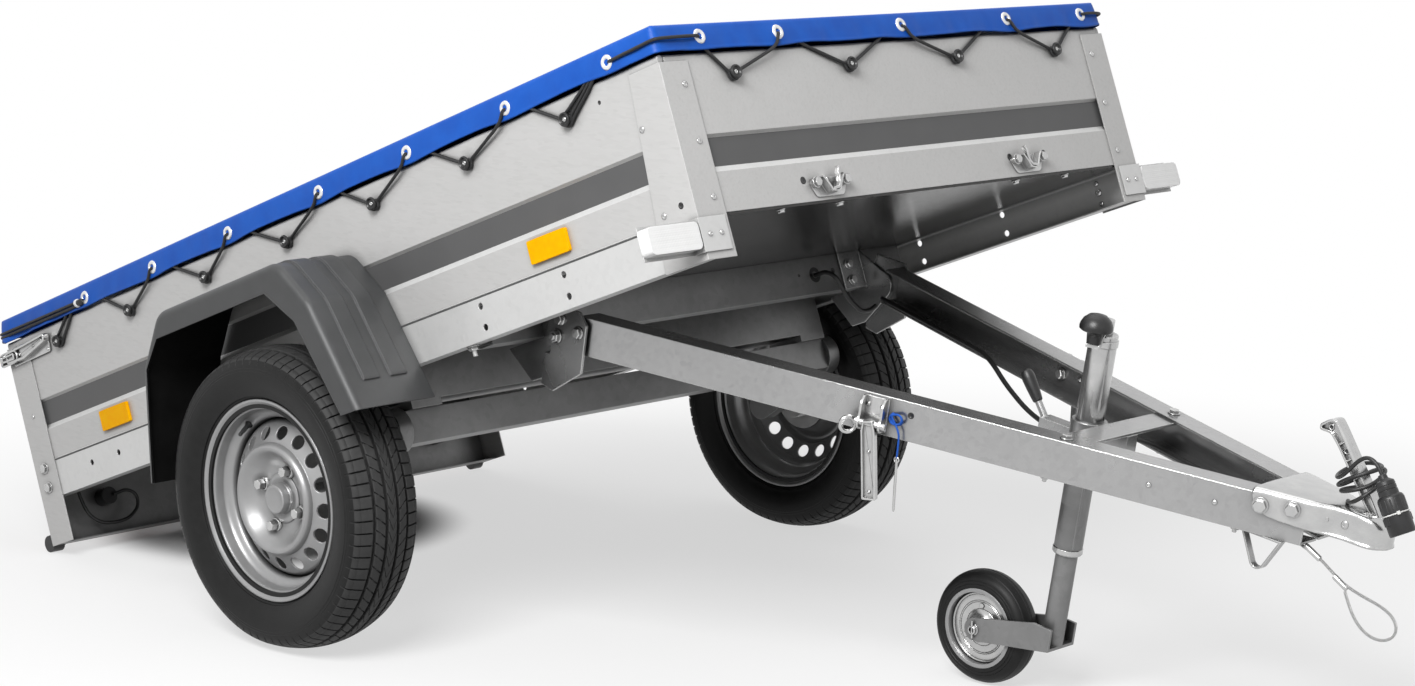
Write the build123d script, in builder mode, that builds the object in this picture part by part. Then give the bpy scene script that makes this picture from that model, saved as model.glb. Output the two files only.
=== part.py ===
"""Tipping utility trailer: steel bed on one torsion axle, V drawbar on a jockey wheel.

The bed and the drawbar are each modelled level, in their own frames, and placed in the
stance of the finished model at the end. Bed frame: origin on the wheel axis, x forward,
z square to the floor. Drawbar frame: origin on the tilt pivot, x along the drawbar.
"""

import os
from math import acos, atan2, cos, degrees, hypot, radians, sin, tan

from build123d import *

# Stance of the drawbar; the bed's own comes from its rear feet
BAR_DROP = 9.45

# Bed box, from the wheel axis
BED_LENGTH = 1978.0
BED_WIDTH = 1187.0
BED_FRONT = 1053.0
RAIL_BOTTOM = 159.0
RAIL_HEIGHT = 74.0
RAIL_FLANGE = 35.0
RAIL_SHEET = 2.5
FLOOR_THICKNESS = 9.0
WALL_HEIGHT = 259.0
WALL_SHEET = 2.0
WALL_FOOT = 28.0
STRIP_HEIGHT = 62.0
STRIPE_HEIGHT = 48.0
STRIPE_DEPTH = 5.0
BEAD_RISE = 9.0
RIM_RADIUS = 6.5
RAIL_HOLE_RADIUS = 6.0
RAIL_HOLE_LOW = 20.0
RAIL_HOLE_HIGH = 57.0
RAIL_HOLE_MID = 41.0
FRONT_HOLES = [330.0, 547.0]
REAR_HOLES = [200.0, 297.0]

# Corner posts
POST_SHEET = 2.5
FRONT_POST_TOP_WIDTH = 72.0
FRONT_POST_FOOT_WIDTH = 100.0
FRONT_POST_FACE = 66.0
REAR_POST_WIDTH = 75.0
REAR_POST_FACE = 34.0
POST_DROP = 3.0

# Tailgate
TAILGATE_DEPTH = 14.0
TAILGATE_GAP = 5.0
TAILGATE_SIDE_GAP = 5.0
HINGE_PIN_RADIUS = 5.0
HINGE_KNUCKLE_RADIUS = 9.0
HINGE_KNUCKLE_LENGTH = 60.0
HINGE_SPREAD = 400.0
HINGE_EAR = 5.0
HINGE_FACE_GAP = 1.5
HINGE_LEAF = 6.0
HINGE_LEAF_HEIGHT = 45.0
PIN_CLEARANCE = 0.4

# Rear panel, feet and lamps
PANEL_DEPTH = 158.36
PANEL_FLANGE = 45.0
FOOT_RADIUS = 17.0
FOOT_WIDTH = 26.0
FOOT_INSET = 4.0
FOOT_LIFT = 7.32
LAMP_LENGTH = 190.0
LAMP_HEIGHT = 76.0
LAMP_DEPTH = 34.0
LAMP_INSET = 40.0
SOCKET_PLUG_RADIUS = 18.0
SOCKET_PLUG_LENGTH = 30.0
LAMP_LEAD_RADIUS = 3.5

# Markers and reflectors
MARKER_LENGTH = 114.0
MARKER_HEIGHT = 45.0
MARKER_DEPTH = 24.0
MARKER_LIFT = 15.0
MARKER_PLATE = 2.5
MARKER_PLATE_LAP = 58.0
MARKER_PLATE_HEIGHT = 56.0
MARKER_POST_GAP = 2.0
REFLECTOR_LENGTH = 96.0
REFLECTOR_HEIGHT = 40.0
REFLECTOR_DEPTH = 7.0
REFLECTOR_FROM_FRONT = 344.0
REFLECTOR_FROM_REAR = 320.0
REFLECTOR_LIFT = 36.0

# Cover and lacing knobs
COVER_SHEET = 3.0
COVER_RISE = 49.0
HEM_DROP = 4.0
HEM_GAP = 0.3
REAR_HEM_GAP = 6.0
KNOB_HEAD_RADIUS = 10.5
KNOB_HEAD = 6.0
KNOB_STEM_RADIUS = 5.5
KNOB_STEM = 9.0
KNOB_DROP = 39.0
SIDE_KNOB_FROM_FRONT = 228.0
SIDE_KNOB_FROM_REAR = 193.0
FRONT_KNOB_MARGIN = 161.5
SIDE_KNOB_COUNT = 7
FRONT_KNOB_COUNT = 4

# Wheels
TYRE_SECTION = 108.8
TYRE_WIDTH = 152.0
SHOULDER_DROP = 14.0
SHOULDER_SIDE = 12.0
TYRE_SIDE_GAP = 15.0
RIM_SEAT_RADIUS = 165.0
RIM_FLANGE_HEIGHT = 17.4
RIM_WELL_DROP = 17.0
RIM_SHEET = 3.5
RIM_WIDTH = 114.0
BEAD_CLEARANCE = 0.4
DISC_FACE = 22.0
DISC_CROWN = 47.0
VENT_RADIUS = 12.5
VENT_INSET = 29.0
RECESS_INSET = 39.0
RECESS_SLOPE = 18.0
VENT_COUNT = 16
HUB_BORE_RADIUS = 30.0
HUB_FLANGE_RADIUS = 66.0
HUB_BARREL_RADIUS = 40.0
HUB_CAP_RADIUS = 26.0
HUB_CAP_REACH = 24.0
STUB_RADIUS = 15.0
STUB_CLEARANCE = 0.5

# Axle
AXLE_BEAM_SIDE = 60.0
AXLE_BEAM_X = 183.0
AXLE_BEAM_Z = 63.0
AXLE_BEAM_WALL = 5.0
ARM_THICKNESS = 30.0
ARM_EYE_RADIUS = 42.0
ARM_END_RADIUS = 30.0
ARM_TYRE_GAP = 14.0

# Mudguards: the arch runs from rear foot to front foot, in tyre radii from the wheel axis
GUARD_ARCH = [(-1.11, 0.35), (-0.875, 1.1), (-0.585, 1.42), (0.763, 1.42), (0.993, 1.1), (1.227, 0.35)]
GUARD_OVERHANG = 9.0
GUARD_SHEET = 4.0
GUARD_LIP = 46.0
GUARD_REAR_LIP = 14.0
GUARD_RIB_WIDTH = 36.0
GUARD_RIB_RISE = 4.0
GUARD_RIB_INSETS = [38.0, 98.0]

# Cross members
BEAM_FLANGE = 40.0
BEAM_DEPTH = 72.0
BEAM_SETBACK = 37.0
BEAM_SHEET = 3.0
BEAM_HOLE_INSET = 140.0
AXLE_MEMBER_LENGTH = 90.0
AXLE_PAD_HEIGHT = 13.0
AXLE_PAD_WIDTH = 70.0

# Tilt hinge, pivot measured in the bed frame
PIVOT_X = 512.0
PIVOT_Z = 145.0
PIVOT_RADIUS = 8.0
HINGE_CHEEK = 5.0
HINGE_CHEEK_RADIUS = 28.0
HINGE_LAYER_GAP = 0.4
HINGE_INSET = 157.5
STOP_BOTTOM_Z = 85.0
STOP_REAR_X = 380.0
STOP_TOE_X = 434.0
STOP_TOE_LENGTH = 34.0
HINGE_FLANGE = 62.0

# Drawbar, from the tilt pivot
ARM_REAR = 43.0
ARM_FRONT = 1275.0
ARM_MID_Z = 14.0
ARM_DEPTH = 67.0
ARM_FLANGE = 46.0
ARM_SHEET = 4.0
ARM_FRONT_Y = 51.0
ARM_CENTRE_GAP = 1.0
PLATE_REAR = 24.0
PLATE_FRONT = 68.0
PLATE_TOP = 56.0
PLATE_BOTTOM = 99.0
PLATE_CHAMFER = 50.0
PLATE_SHEET = 5.0
NOTCH_DROP = 29.0
NOTCH_RADIUS = 7.0
NOTCH_DEPTH = 14.0

# Jockey wheel, from the tilt pivot
JOCKEY_X = 820.0
JOCKEY_TUBE_RADIUS = 24.0
JOCKEY_TUBE_WALL = 3.0
JOCKEY_TUBE_TOP = 181.0
JOCKEY_TUBE_BOTTOM = 197.0
JOCKEY_INNER_WALL = 3.0
JOCKEY_TUBE_FIT = 2.0
CROSS_STRIP_WIDTH = 50.0
CROSS_STRIP_GAP = 14.0
JOCKEY_TRAIL = 138.0
JOCKEY_AXLE_DROP = 15.0
JOCKEY_WHEEL_RADIUS = 100.0
JOCKEY_WHEEL_WIDTH = 54.0
JOCKEY_RIM_RADIUS = 70.0
JOCKEY_PIN_RADIUS = 8.0
FORK_SHEET = 5.0
FORK_WIDTH = 40.0
FORK_SIDE_GAP = 5.0
CROSS_STRIP_SHEET = 5.0
CLAMP_HEIGHT = 62.0
CLAMP_WALL = 6.0
CLAMP_LUG_LENGTH = 66.0
CLAMP_LUG_WIDTH = 30.0
CLAMP_LEVER_RADIUS = 6.0
CLAMP_LEVER_LENGTH = 60.0
CLAMP_GRIP_RADIUS = 11.0
CLAMP_GRIP_LENGTH = 50.0
CLAMP_LEVER_ANGLE = 129.0
SPINDLE_RADIUS = 8.0
NUT_HEIGHT = 24.0
CRANK_REACH = 46.0
CRANK_ANGLE = -75.0
CRANK_DROP = 34.0
CRANK_BOSS_HEIGHT = 26.0
GRIP_NECK = 10.0
CRANK_WIDTH = 22.0
CRANK_SHEET = 6.0
CRANK_UPRIGHT_RADIUS = 5.0
GRIP_RADIUS = 28.0
GRIP_HEIGHT = 28.0
GRIP_DOME = 17.0

# Coupling, from the front ends of the arms
COUPLING_LAP = 82.0
COUPLING_REACH = 124.0
COUPLING_TAPER = 40.0
COUPLING_SKIRT = 40.0
COUPLING_LIP = 3.0
COUPLING_SHEET = 4.0
SOCKET_RADIUS = 25.25
SOCKET_WALL = 6.0
HANDLE_LENGTH = 160.0
HANDLE_WIDTH = 30.0
HANDLE_THICKNESS = 11.0
HANDLE_ANGLE = 129.5
HANDLE_TIP = 24.0
LOOP_FROM_FRONT = 60.0
LOOP_LENGTH = 74.0
LOOP_DROP = 73.0
LOOP_SHEET = 3.0
LOOP_STRIP = 14.0
LOOP_BEND = 14.0

# Cables: the lighting harness, its lead and plug, and the safety cable
HARNESS_RADIUS = 4.5
HARNESS_INSET = 46.0
HARNESS_STANDOFF = 44.0
HARNESS_CLIPS = [375.0, 862.0]
CABLE_LIFT = 0.3
LEAD_RADIUS = 3.5
LEAD_COIL_RADIUS = 36.0
LEAD_COIL_HEIGHT = 36.0
LEAD_COIL_LIFT = 58.0
PLUG_RADIUS = 21.0
PLUG_LENGTH = 62.0
PLUG_NECK_RADIUS = 16.0
PLUG_NECK_LENGTH = 25.0
SAFETY_CABLE_RADIUS = 1.6
SAFETY_CABLE_Y = -30.0

# Tilt latches and saddles
LATCH_X = 582.0
LATCH_WIDTH = 50.0
LATCH_DEPTH = 30.0
LATCH_SHEET = 4.0
LATCH_LEVER_LENGTH = 128.0
LATCH_LEVER_WIDTH = 24.0
LATCH_LEVER_SHEET = 6.0
LATCH_PIN_RADIUS = 6.0
SADDLE_WIDTH = 128.0
SADDLE_HEIGHT = 38.0
SADDLE_DROP = 11.0
SADDLE_SHEET = 3.0
SADDLE_HOOK_WIDTH = 50.0
SADDLE_HOOK_REACH = 22.0

# Tailgate toggle latches
TOGGLE_LENGTH = 174.0
TOGGLE_HEIGHT = 40.0
TOGGLE_BASE = 3.0
TOGGLE_LEVER = 14.0
TOGGLE_OVERHANG = 12.0
TOGGLE_DROP = 14.0
TOGGLE_HOOK_SHORT = 4.0

# Derived levels and planes of the bed
bed_rear = BED_FRONT - BED_LENGTH
half_width = BED_WIDTH / 2
wall_plane = half_width - POST_SHEET
front_plane_x = BED_FRONT - POST_SHEET
floor_top = RAIL_BOTTOM + RAIL_HEIGHT
floor_bottom = floor_top - FLOOR_THICKNESS
wall_top = floor_top + WALL_HEIGHT
strip_top = floor_top + STRIP_HEIGHT
stripe_bottom = strip_top + BEAD_RISE
stripe_top = stripe_bottom + STRIPE_HEIGHT
rim_z = wall_top - RIM_RADIUS
panel_x = bed_rear + POST_SHEET
floor_rear = bed_rear + TAILGATE_DEPTH + TAILGATE_GAP
front_wall_bottom = floor_top - FLOOR_THICKNESS / 2
tyre_radius = RIM_SEAT_RADIUS + TYRE_SECTION
panel_bottom = floor_bottom - PANEL_DEPTH
foot_x = bed_rear - FOOT_RADIUS
foot_z = panel_bottom + FOOT_LIFT
tip = acos((FOOT_RADIUS - tyre_radius) / hypot(foot_x, foot_z)) - atan2(-foot_x, foot_z)
drop = radians(BAR_DROP)
tailgate_axis_x = panel_x - HINGE_KNUCKLE_RADIUS - HINGE_FACE_GAP
tailgate_axis_z = floor_top - HINGE_KNUCKLE_RADIUS - 2 * HINGE_FACE_GAP
track_half = wall_plane + TYRE_SIDE_GAP + TYRE_WIDTH / 2
beam_face_x = PIVOT_X - BEAM_SETBACK
hinge_y = half_width - HINGE_INSET
beam_hole_y = hinge_y - BEAM_HOLE_INSET

# Derived places of the drawbar
pivot_height = tyre_radius + PIVOT_X * sin(tip) + PIVOT_Z * cos(tip)
pivot_ahead = PIVOT_X * cos(tip) - PIVOT_Z * sin(tip)
jockey_wheel_x = JOCKEY_X - JOCKEY_TRAIL
jockey_wheel_z = (JOCKEY_WHEEL_RADIUS - pivot_height + jockey_wheel_x * sin(drop)) / cos(drop)
jockey_inner_bottom = jockey_wheel_z + JOCKEY_AXLE_DROP
arm_bottom = ARM_MID_Z - ARM_DEPTH / 2
arm_top = ARM_MID_Z + ARM_DEPTH / 2
arm_rear_y = hinge_y
arm_taper = atan2(arm_rear_y - ARM_FRONT_Y, ARM_FRONT - ARM_REAR)
lean = cos(arm_taper)
coupling_rear = ARM_FRONT - COUPLING_LAP
coupling_nose = ARM_FRONT + COUPLING_REACH

# Stance of the finished model: origin on the ground, under the middle of its length
cover_top = wall_top + COVER_RISE
coupling_top = arm_top + 2 * COUPLING_SHEET
reach_rear = (bed_rear - COVER_SHEET) * cos(tip) - cover_top * sin(tip)
reach_front = pivot_ahead + coupling_nose * cos(drop) + coupling_top * sin(drop)
axle_x = -(reach_front + reach_rear) / 2
BED_POSE = Location((axle_x, 0, tyre_radius), (0, -degrees(tip), 0))
BAR_POSE = Location((axle_x + pivot_ahead, 0, pivot_height), (0, BAR_DROP, 0))


def side_plane(y):
    """Upright plane along the trailer at y, with local x forward and local y up."""
    return Plane((0, y, 0), x_dir=(1, 0, 0), z_dir=(0, -1, 0))


def cross_plane(x):
    """Upright plane across the trailer at x, with local x to the left and local y up."""
    return Plane((x, 0, 0), x_dir=(0, 1, 0), z_dir=(1, 0, 0))


def arm_y(x):
    """Outer face of a drawbar arm at x along the drawbar."""
    return arm_rear_y - (x - ARM_REAR) * tan(arm_taper)


def mirrored(part):
    """The same piece on the other side of the trailer."""
    with BuildPart() as other:
        mirror(part, about=Plane.XZ)
    return other.part


pieces = []


def keep(part, label, pose):
    """Remember a finished piece with its name and its stance."""
    pieces.append((part, label, pose))


def keep_pair(part, label, pose):
    """Keep a left-hand piece and its right-hand mirror image."""
    keep(part, label + "_left", pose)
    keep(mirrored(part), label + "_right", pose)


# Walls: one rolled profile for the sides, the front and the tailgate
def wall_profile(face, inward, bottom, foot):
    """Section of a wall: local x across the wall, local y up, with its foot and rolled rim."""
    inner = face + inward * WALL_SHEET
    groove = face + inward * STRIPE_DEPTH
    groove_inner = groove + inward * WALL_SHEET
    lead = WALL_SHEET / 2
    with BuildSketch() as section:
        with BuildLine():
            Polyline(
                (face, bottom),
                (face, strip_top),
                (groove, stripe_bottom),
                (groove, stripe_top),
                (face, stripe_top + STRIPE_DEPTH),
                (face, rim_z),
                (inner, rim_z),
                (inner, stripe_top + STRIPE_DEPTH + lead),
                (groove_inner, stripe_top + lead),
                (groove_inner, stripe_bottom - lead),
                (inner, strip_top - lead),
                (inner, bottom),
                close=True,
            )
        make_face()
        with Locations((face + inward * foot / 2, bottom + WALL_SHEET / 2)):
            Rectangle(foot, WALL_SHEET)
        with Locations((face + inward * RIM_RADIUS, rim_z)):
            Circle(RIM_RADIUS)
    return section.sketch


with BuildPart() as side_wall:
    with BuildSketch(cross_plane(panel_x)):
        add(wall_profile(wall_plane, -1, floor_top, WALL_FOOT))
    extrude(amount=front_plane_x - WALL_SHEET - panel_x)
keep_pair(side_wall.part, "side_wall", BED_POSE)

front_wall_half = wall_plane - 2 * RIM_RADIUS
with BuildPart() as front_wall:
    with BuildSketch(side_plane(front_wall_half)):
        add(wall_profile(front_plane_x, -1, front_wall_bottom, WALL_SHEET))
    extrude(amount=2 * front_wall_half)
keep(front_wall.part, "front_wall", BED_POSE)

# Floor board, with its front edge behind the front wall
with BuildPart() as floor:
    with BuildSketch(Plane.XY.offset(floor_bottom)):
        with Locations(((floor_rear + front_plane_x - WALL_SHEET) / 2, 0)):
            Rectangle(front_plane_x - WALL_SHEET - floor_rear, 2 * (wall_plane - RAIL_SHEET))
    extrude(amount=FLOOR_THICKNESS)
keep(floor.part, "floor", BED_POSE)

# Side rails: channels that carry the edge of the floor on a ledge
with BuildPart() as side_rail:
    with BuildSketch(cross_plane(panel_x + RAIL_SHEET)):
        with BuildLine():
            Polyline(
                (wall_plane - RAIL_FLANGE, RAIL_BOTTOM),
                (wall_plane, RAIL_BOTTOM),
                (wall_plane, floor_top),
                (wall_plane - RAIL_SHEET, floor_top),
                (wall_plane - RAIL_SHEET, floor_bottom),
                (wall_plane - RAIL_FLANGE, floor_bottom),
                (wall_plane - RAIL_FLANGE, floor_bottom - RAIL_SHEET),
                (wall_plane - RAIL_SHEET, floor_bottom - RAIL_SHEET),
                (wall_plane - RAIL_SHEET, RAIL_BOTTOM + RAIL_SHEET),
                (wall_plane - RAIL_FLANGE, RAIL_BOTTOM + RAIL_SHEET),
                close=True,
            )
        make_face()
    extrude(amount=front_plane_x - panel_x - RAIL_SHEET)
    with BuildSketch(side_plane(wall_plane)):
        for back in FRONT_HOLES:
            hole_x = BED_FRONT - back
            with Locations((hole_x, RAIL_BOTTOM + RAIL_HOLE_LOW), (hole_x, RAIL_BOTTOM + RAIL_HOLE_HIGH)):
                Circle(RAIL_HOLE_RADIUS)
        for ahead in REAR_HOLES:
            with Locations((bed_rear + ahead, RAIL_BOTTOM + RAIL_HOLE_MID)):
                Circle(RAIL_HOLE_RADIUS)
    extrude(amount=RAIL_SHEET, mode=Mode.SUBTRACT)
keep_pair(side_rail.part, "side_rail", BED_POSE)

# Corner posts: folded angles over the wall ends
post_bottom = RAIL_BOTTOM - POST_DROP
post_top = rim_z - RIM_RADIUS
with BuildPart() as front_post:
    with BuildSketch(side_plane(half_width)):
        with BuildLine():
            Polyline(
                (BED_FRONT, post_bottom),
                (BED_FRONT, post_top),
                (BED_FRONT - FRONT_POST_TOP_WIDTH, post_top),
                (BED_FRONT - FRONT_POST_FOOT_WIDTH, post_bottom),
                close=True,
            )
        make_face()
    extrude(amount=POST_SHEET)
    with BuildSketch(cross_plane(front_plane_x)):
        with Locations((half_width - FRONT_POST_FACE / 2, (post_bottom + post_top) / 2)):
            Rectangle(FRONT_POST_FACE, post_top - post_bottom)
    extrude(amount=POST_SHEET)
    mirror(about=Plane.XZ)
keep(front_post.part, "front_posts", BED_POSE)

with BuildPart() as rear_post:
    with BuildSketch(side_plane(half_width)):
        with Locations((bed_rear + REAR_POST_WIDTH / 2, (panel_bottom + post_top) / 2)):
            Rectangle(REAR_POST_WIDTH, post_top - panel_bottom)
    extrude(amount=POST_SHEET)
    with BuildSketch(cross_plane(bed_rear)):
        with Locations((half_width - REAR_POST_FACE / 2, (panel_bottom + post_top) / 2)):
            Rectangle(REAR_POST_FACE, post_top - panel_bottom)
    extrude(amount=POST_SHEET)
    mirror(about=Plane.XZ)
keep(rear_post.part, "rear_posts", BED_POSE)

# Rear panel below the floor, with a bottom flange and a narrower ledge under the floor board
ledge_half = wall_plane - RAIL_FLANGE - PIN_CLEARANCE
with BuildPart() as rear_panel:
    with BuildSketch(side_plane(wall_plane)):
        with Locations((panel_x + RAIL_SHEET / 2, (panel_bottom + floor_bottom) / 2)):
            Rectangle(RAIL_SHEET, floor_bottom - panel_bottom)
        with Locations((panel_x + PANEL_FLANGE / 2, panel_bottom + RAIL_SHEET / 2)):
            Rectangle(PANEL_FLANGE, RAIL_SHEET)
    extrude(amount=2 * wall_plane)
    with BuildSketch(side_plane(ledge_half)):
        with Locations((panel_x + PANEL_FLANGE / 2, floor_bottom - RAIL_SHEET / 2)):
            Rectangle(PANEL_FLANGE, RAIL_SHEET)
    extrude(amount=2 * ledge_half)
keep(rear_panel.part, "rear_panel", BED_POSE)

# Rubber feet on the backs of the rear posts, round where they touch the ground
with BuildPart() as rear_feet:
    with BuildSketch(side_plane(half_width - FOOT_INSET)):
        with Locations((foot_x, foot_z)):
            Circle(FOOT_RADIUS)
        with Locations((foot_x + FOOT_RADIUS / 2, foot_z + FOOT_RADIUS / 4)):
            Rectangle(FOOT_RADIUS, FOOT_RADIUS * 3 / 2)
    extrude(amount=FOOT_WIDTH)
    mirror(about=Plane.XZ)
keep(rear_feet.part, "rear_feet", BED_POSE)

# Tail lamps on the outside of the rear panel, with their plugs on its inside
lamp_z = (panel_bottom + floor_bottom) / 2
lamp_y = wall_plane - LAMP_INSET - LAMP_LENGTH / 2
with BuildPart() as tail_lamps:
    with BuildSketch(cross_plane(panel_x)):
        with Locations((lamp_y, lamp_z), (-lamp_y, lamp_z)):
            RectangleRounded(LAMP_LENGTH, LAMP_HEIGHT, LAMP_HEIGHT / 8)
    extrude(amount=-LAMP_DEPTH)
keep(tail_lamps.part, "tail_lamps", BED_POSE)

plug_face = panel_x + RAIL_SHEET
with BuildPart() as lamp_plugs:
    with BuildSketch(cross_plane(plug_face)):
        with Locations((lamp_y, lamp_z), (-lamp_y, lamp_z)):
            Circle(SOCKET_PLUG_RADIUS)
    extrude(amount=SOCKET_PLUG_LENGTH)
keep(lamp_plugs.part, "lamp_plugs", BED_POSE)

# Front marker lamps on folded brackets that step back beside the front posts
marker_z = RAIL_BOTTOM + MARKER_LIFT + MARKER_HEIGHT / 2
bracket_y = half_width + MARKER_POST_GAP
lamp_back_x = BED_FRONT + MARKER_PLATE - MARKER_DEPTH
with BuildPart() as marker_brackets:
    with BuildSketch(Plane.XY.offset(marker_z - MARKER_PLATE_HEIGHT / 2)):
        with BuildLine():
            Polyline(
                (BED_FRONT, half_width - MARKER_PLATE_LAP),
                (BED_FRONT + MARKER_PLATE, half_width - MARKER_PLATE_LAP),
                (BED_FRONT + MARKER_PLATE, bracket_y + MARKER_PLATE),
                (lamp_back_x, bracket_y + MARKER_PLATE),
                (lamp_back_x, bracket_y + MARKER_PLATE + MARKER_LENGTH),
                (lamp_back_x - MARKER_PLATE, bracket_y + MARKER_PLATE + MARKER_LENGTH),
                (lamp_back_x - MARKER_PLATE, bracket_y),
                (BED_FRONT, bracket_y),
                close=True,
            )
        make_face()
    extrude(amount=MARKER_PLATE_HEIGHT)
    mirror(about=Plane.XZ)
keep(marker_brackets.part, "marker_brackets", BED_POSE)

with BuildPart() as front_markers:
    with BuildSketch(cross_plane(lamp_back_x)):
        for side in (-1, 1):
            with Locations((side * (bracket_y + 2 * MARKER_PLATE + MARKER_LENGTH / 2), marker_z)):
                RectangleRounded(MARKER_LENGTH, MARKER_HEIGHT, MARKER_HEIGHT / 5)
    extrude(amount=MARKER_DEPTH)
keep(front_markers.part, "front_markers", BED_POSE)

# Amber side reflectors on the lower strip of each side wall
reflector_z = floor_top + REFLECTOR_LIFT
reflector_places = [BED_FRONT - REFLECTOR_FROM_FRONT, bed_rear + REFLECTOR_FROM_REAR]
with BuildPart() as side_reflectors:
    with BuildSketch(side_plane(wall_plane + REFLECTOR_DEPTH)):
        with Locations(*[(x, reflector_z) for x in reflector_places]):
            RectangleRounded(REFLECTOR_LENGTH, REFLECTOR_HEIGHT, REFLECTOR_HEIGHT / 12)
    extrude(amount=REFLECTOR_DEPTH)
    mirror(about=Plane.XZ)
keep(side_reflectors.part, "side_reflectors", BED_POSE)

# Cover: a shallow cap over the rims, with a shorter hem above the tailgate
hem_plane = wall_plane + HEM_GAP
hem_bottom = wall_top - HEM_DROP
hem_front = front_plane_x + HEM_GAP
cover_length = hem_front - bed_rear + 2 * COVER_SHEET
cover_mid = (hem_front + bed_rear) / 2
with BuildPart() as cover:
    with BuildSketch(Plane.XY.offset(hem_bottom)):
        with Locations((cover_mid, 0)):
            RectangleRounded(cover_length, 2 * (hem_plane + COVER_SHEET), RIM_RADIUS)
    extrude(amount=cover_top - hem_bottom)
    with BuildSketch(Plane.XY.offset(hem_bottom)):
        with Locations((cover_mid, 0)):
            Rectangle(cover_length - 2 * COVER_SHEET, 2 * hem_plane)
    extrude(amount=cover_top - hem_bottom - COVER_SHEET, mode=Mode.SUBTRACT)
    with BuildSketch(cross_plane(bed_rear + TAILGATE_DEPTH)):
        with Locations((0, hem_bottom)):
            Rectangle(4 * half_width, 2 * (wall_top + REAR_HEM_GAP - hem_bottom))
    extrude(amount=-TAILGATE_DEPTH - 2 * COVER_SHEET, mode=Mode.SUBTRACT)
keep(cover.part, "cover", BED_POSE)


def knob(plane):
    """One lacing knob: a stem with a wider head, standing on a wall."""
    with BuildPart(plane) as one:
        Cylinder(KNOB_STEM_RADIUS, KNOB_STEM, align=(Align.CENTER, Align.CENTER, Align.MIN))
        with Locations((0, 0, KNOB_STEM)):
            Cylinder(KNOB_HEAD_RADIUS, KNOB_HEAD, align=(Align.CENTER, Align.CENTER, Align.MIN))
    return one.part


knob_z = wall_top - KNOB_DROP
side_knob_pitch = (BED_LENGTH - SIDE_KNOB_FROM_FRONT - SIDE_KNOB_FROM_REAR) / (SIDE_KNOB_COUNT - 1)
front_knob_pitch = (BED_WIDTH - 2 * FRONT_KNOB_MARGIN) / (FRONT_KNOB_COUNT - 1)
side_knob_places = [BED_FRONT - SIDE_KNOB_FROM_FRONT - i * side_knob_pitch for i in range(SIDE_KNOB_COUNT)]
front_knob_places = [(i - (FRONT_KNOB_COUNT - 1) / 2) * front_knob_pitch for i in range(FRONT_KNOB_COUNT)]
with BuildPart() as lacing_knobs:
    for x in side_knob_places:
        add(knob(Plane((x, wall_plane, knob_z), x_dir=(1, 0, 0), z_dir=(0, 1, 0))))
    mirror(about=Plane.XZ)
    for y in front_knob_places:
        add(knob(Plane((front_plane_x, y, knob_z), x_dir=(0, 1, 0), z_dir=(1, 0, 0))))
keep(lacing_knobs.part, "lacing_knobs", BED_POSE)

# Toggle latches for the tailgate, shown closed, with their hooks behind the rear posts
toggle_z = wall_top - TOGGLE_DROP - TOGGLE_HEIGHT / 2 - RIM_RADIUS
toggle_rear = bed_rear - TOGGLE_OVERHANG
with BuildPart() as toggle:
    with BuildSketch(side_plane(half_width + TOGGLE_BASE)):
        with Locations((toggle_rear + TOGGLE_LENGTH / 2 + TOGGLE_OVERHANG, toggle_z)):
            RectangleRounded(TOGGLE_LENGTH - 3 * TOGGLE_OVERHANG, TOGGLE_HEIGHT, TOGGLE_HEIGHT / 6)
    extrude(amount=TOGGLE_BASE)
    with BuildSketch(side_plane(half_width + TOGGLE_BASE + TOGGLE_LEVER)):
        with BuildLine():
            Polyline(
                (toggle_rear, toggle_z - TOGGLE_HEIGHT / 4),
                (toggle_rear, toggle_z + TOGGLE_HEIGHT / 4),
                (toggle_rear + TOGGLE_LENGTH / 2, toggle_z + TOGGLE_HEIGHT / 3),
                (toggle_rear + TOGGLE_LENGTH, toggle_z + TOGGLE_HEIGHT / 2),
                (toggle_rear + TOGGLE_LENGTH, toggle_z + TOGGLE_HEIGHT / 6),
                (toggle_rear + TOGGLE_LENGTH / 2, toggle_z - TOGGLE_HEIGHT / 3),
                close=True,
            )
        make_face()
    extrude(amount=TOGGLE_LEVER)
    with BuildSketch(side_plane(half_width + TOGGLE_BASE + TOGGLE_LEVER)):
        with Locations((toggle_rear + TOGGLE_OVERHANG / 3, toggle_z)):
            Rectangle(TOGGLE_OVERHANG * 2 / 3, TOGGLE_HEIGHT / 2)
    extrude(amount=TOGGLE_BASE + TOGGLE_LEVER + REAR_POST_FACE - TOGGLE_HOOK_SHORT)
    mirror(about=Plane.XZ)
keep(toggle.part, "tailgate_latches", BED_POSE)

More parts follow.
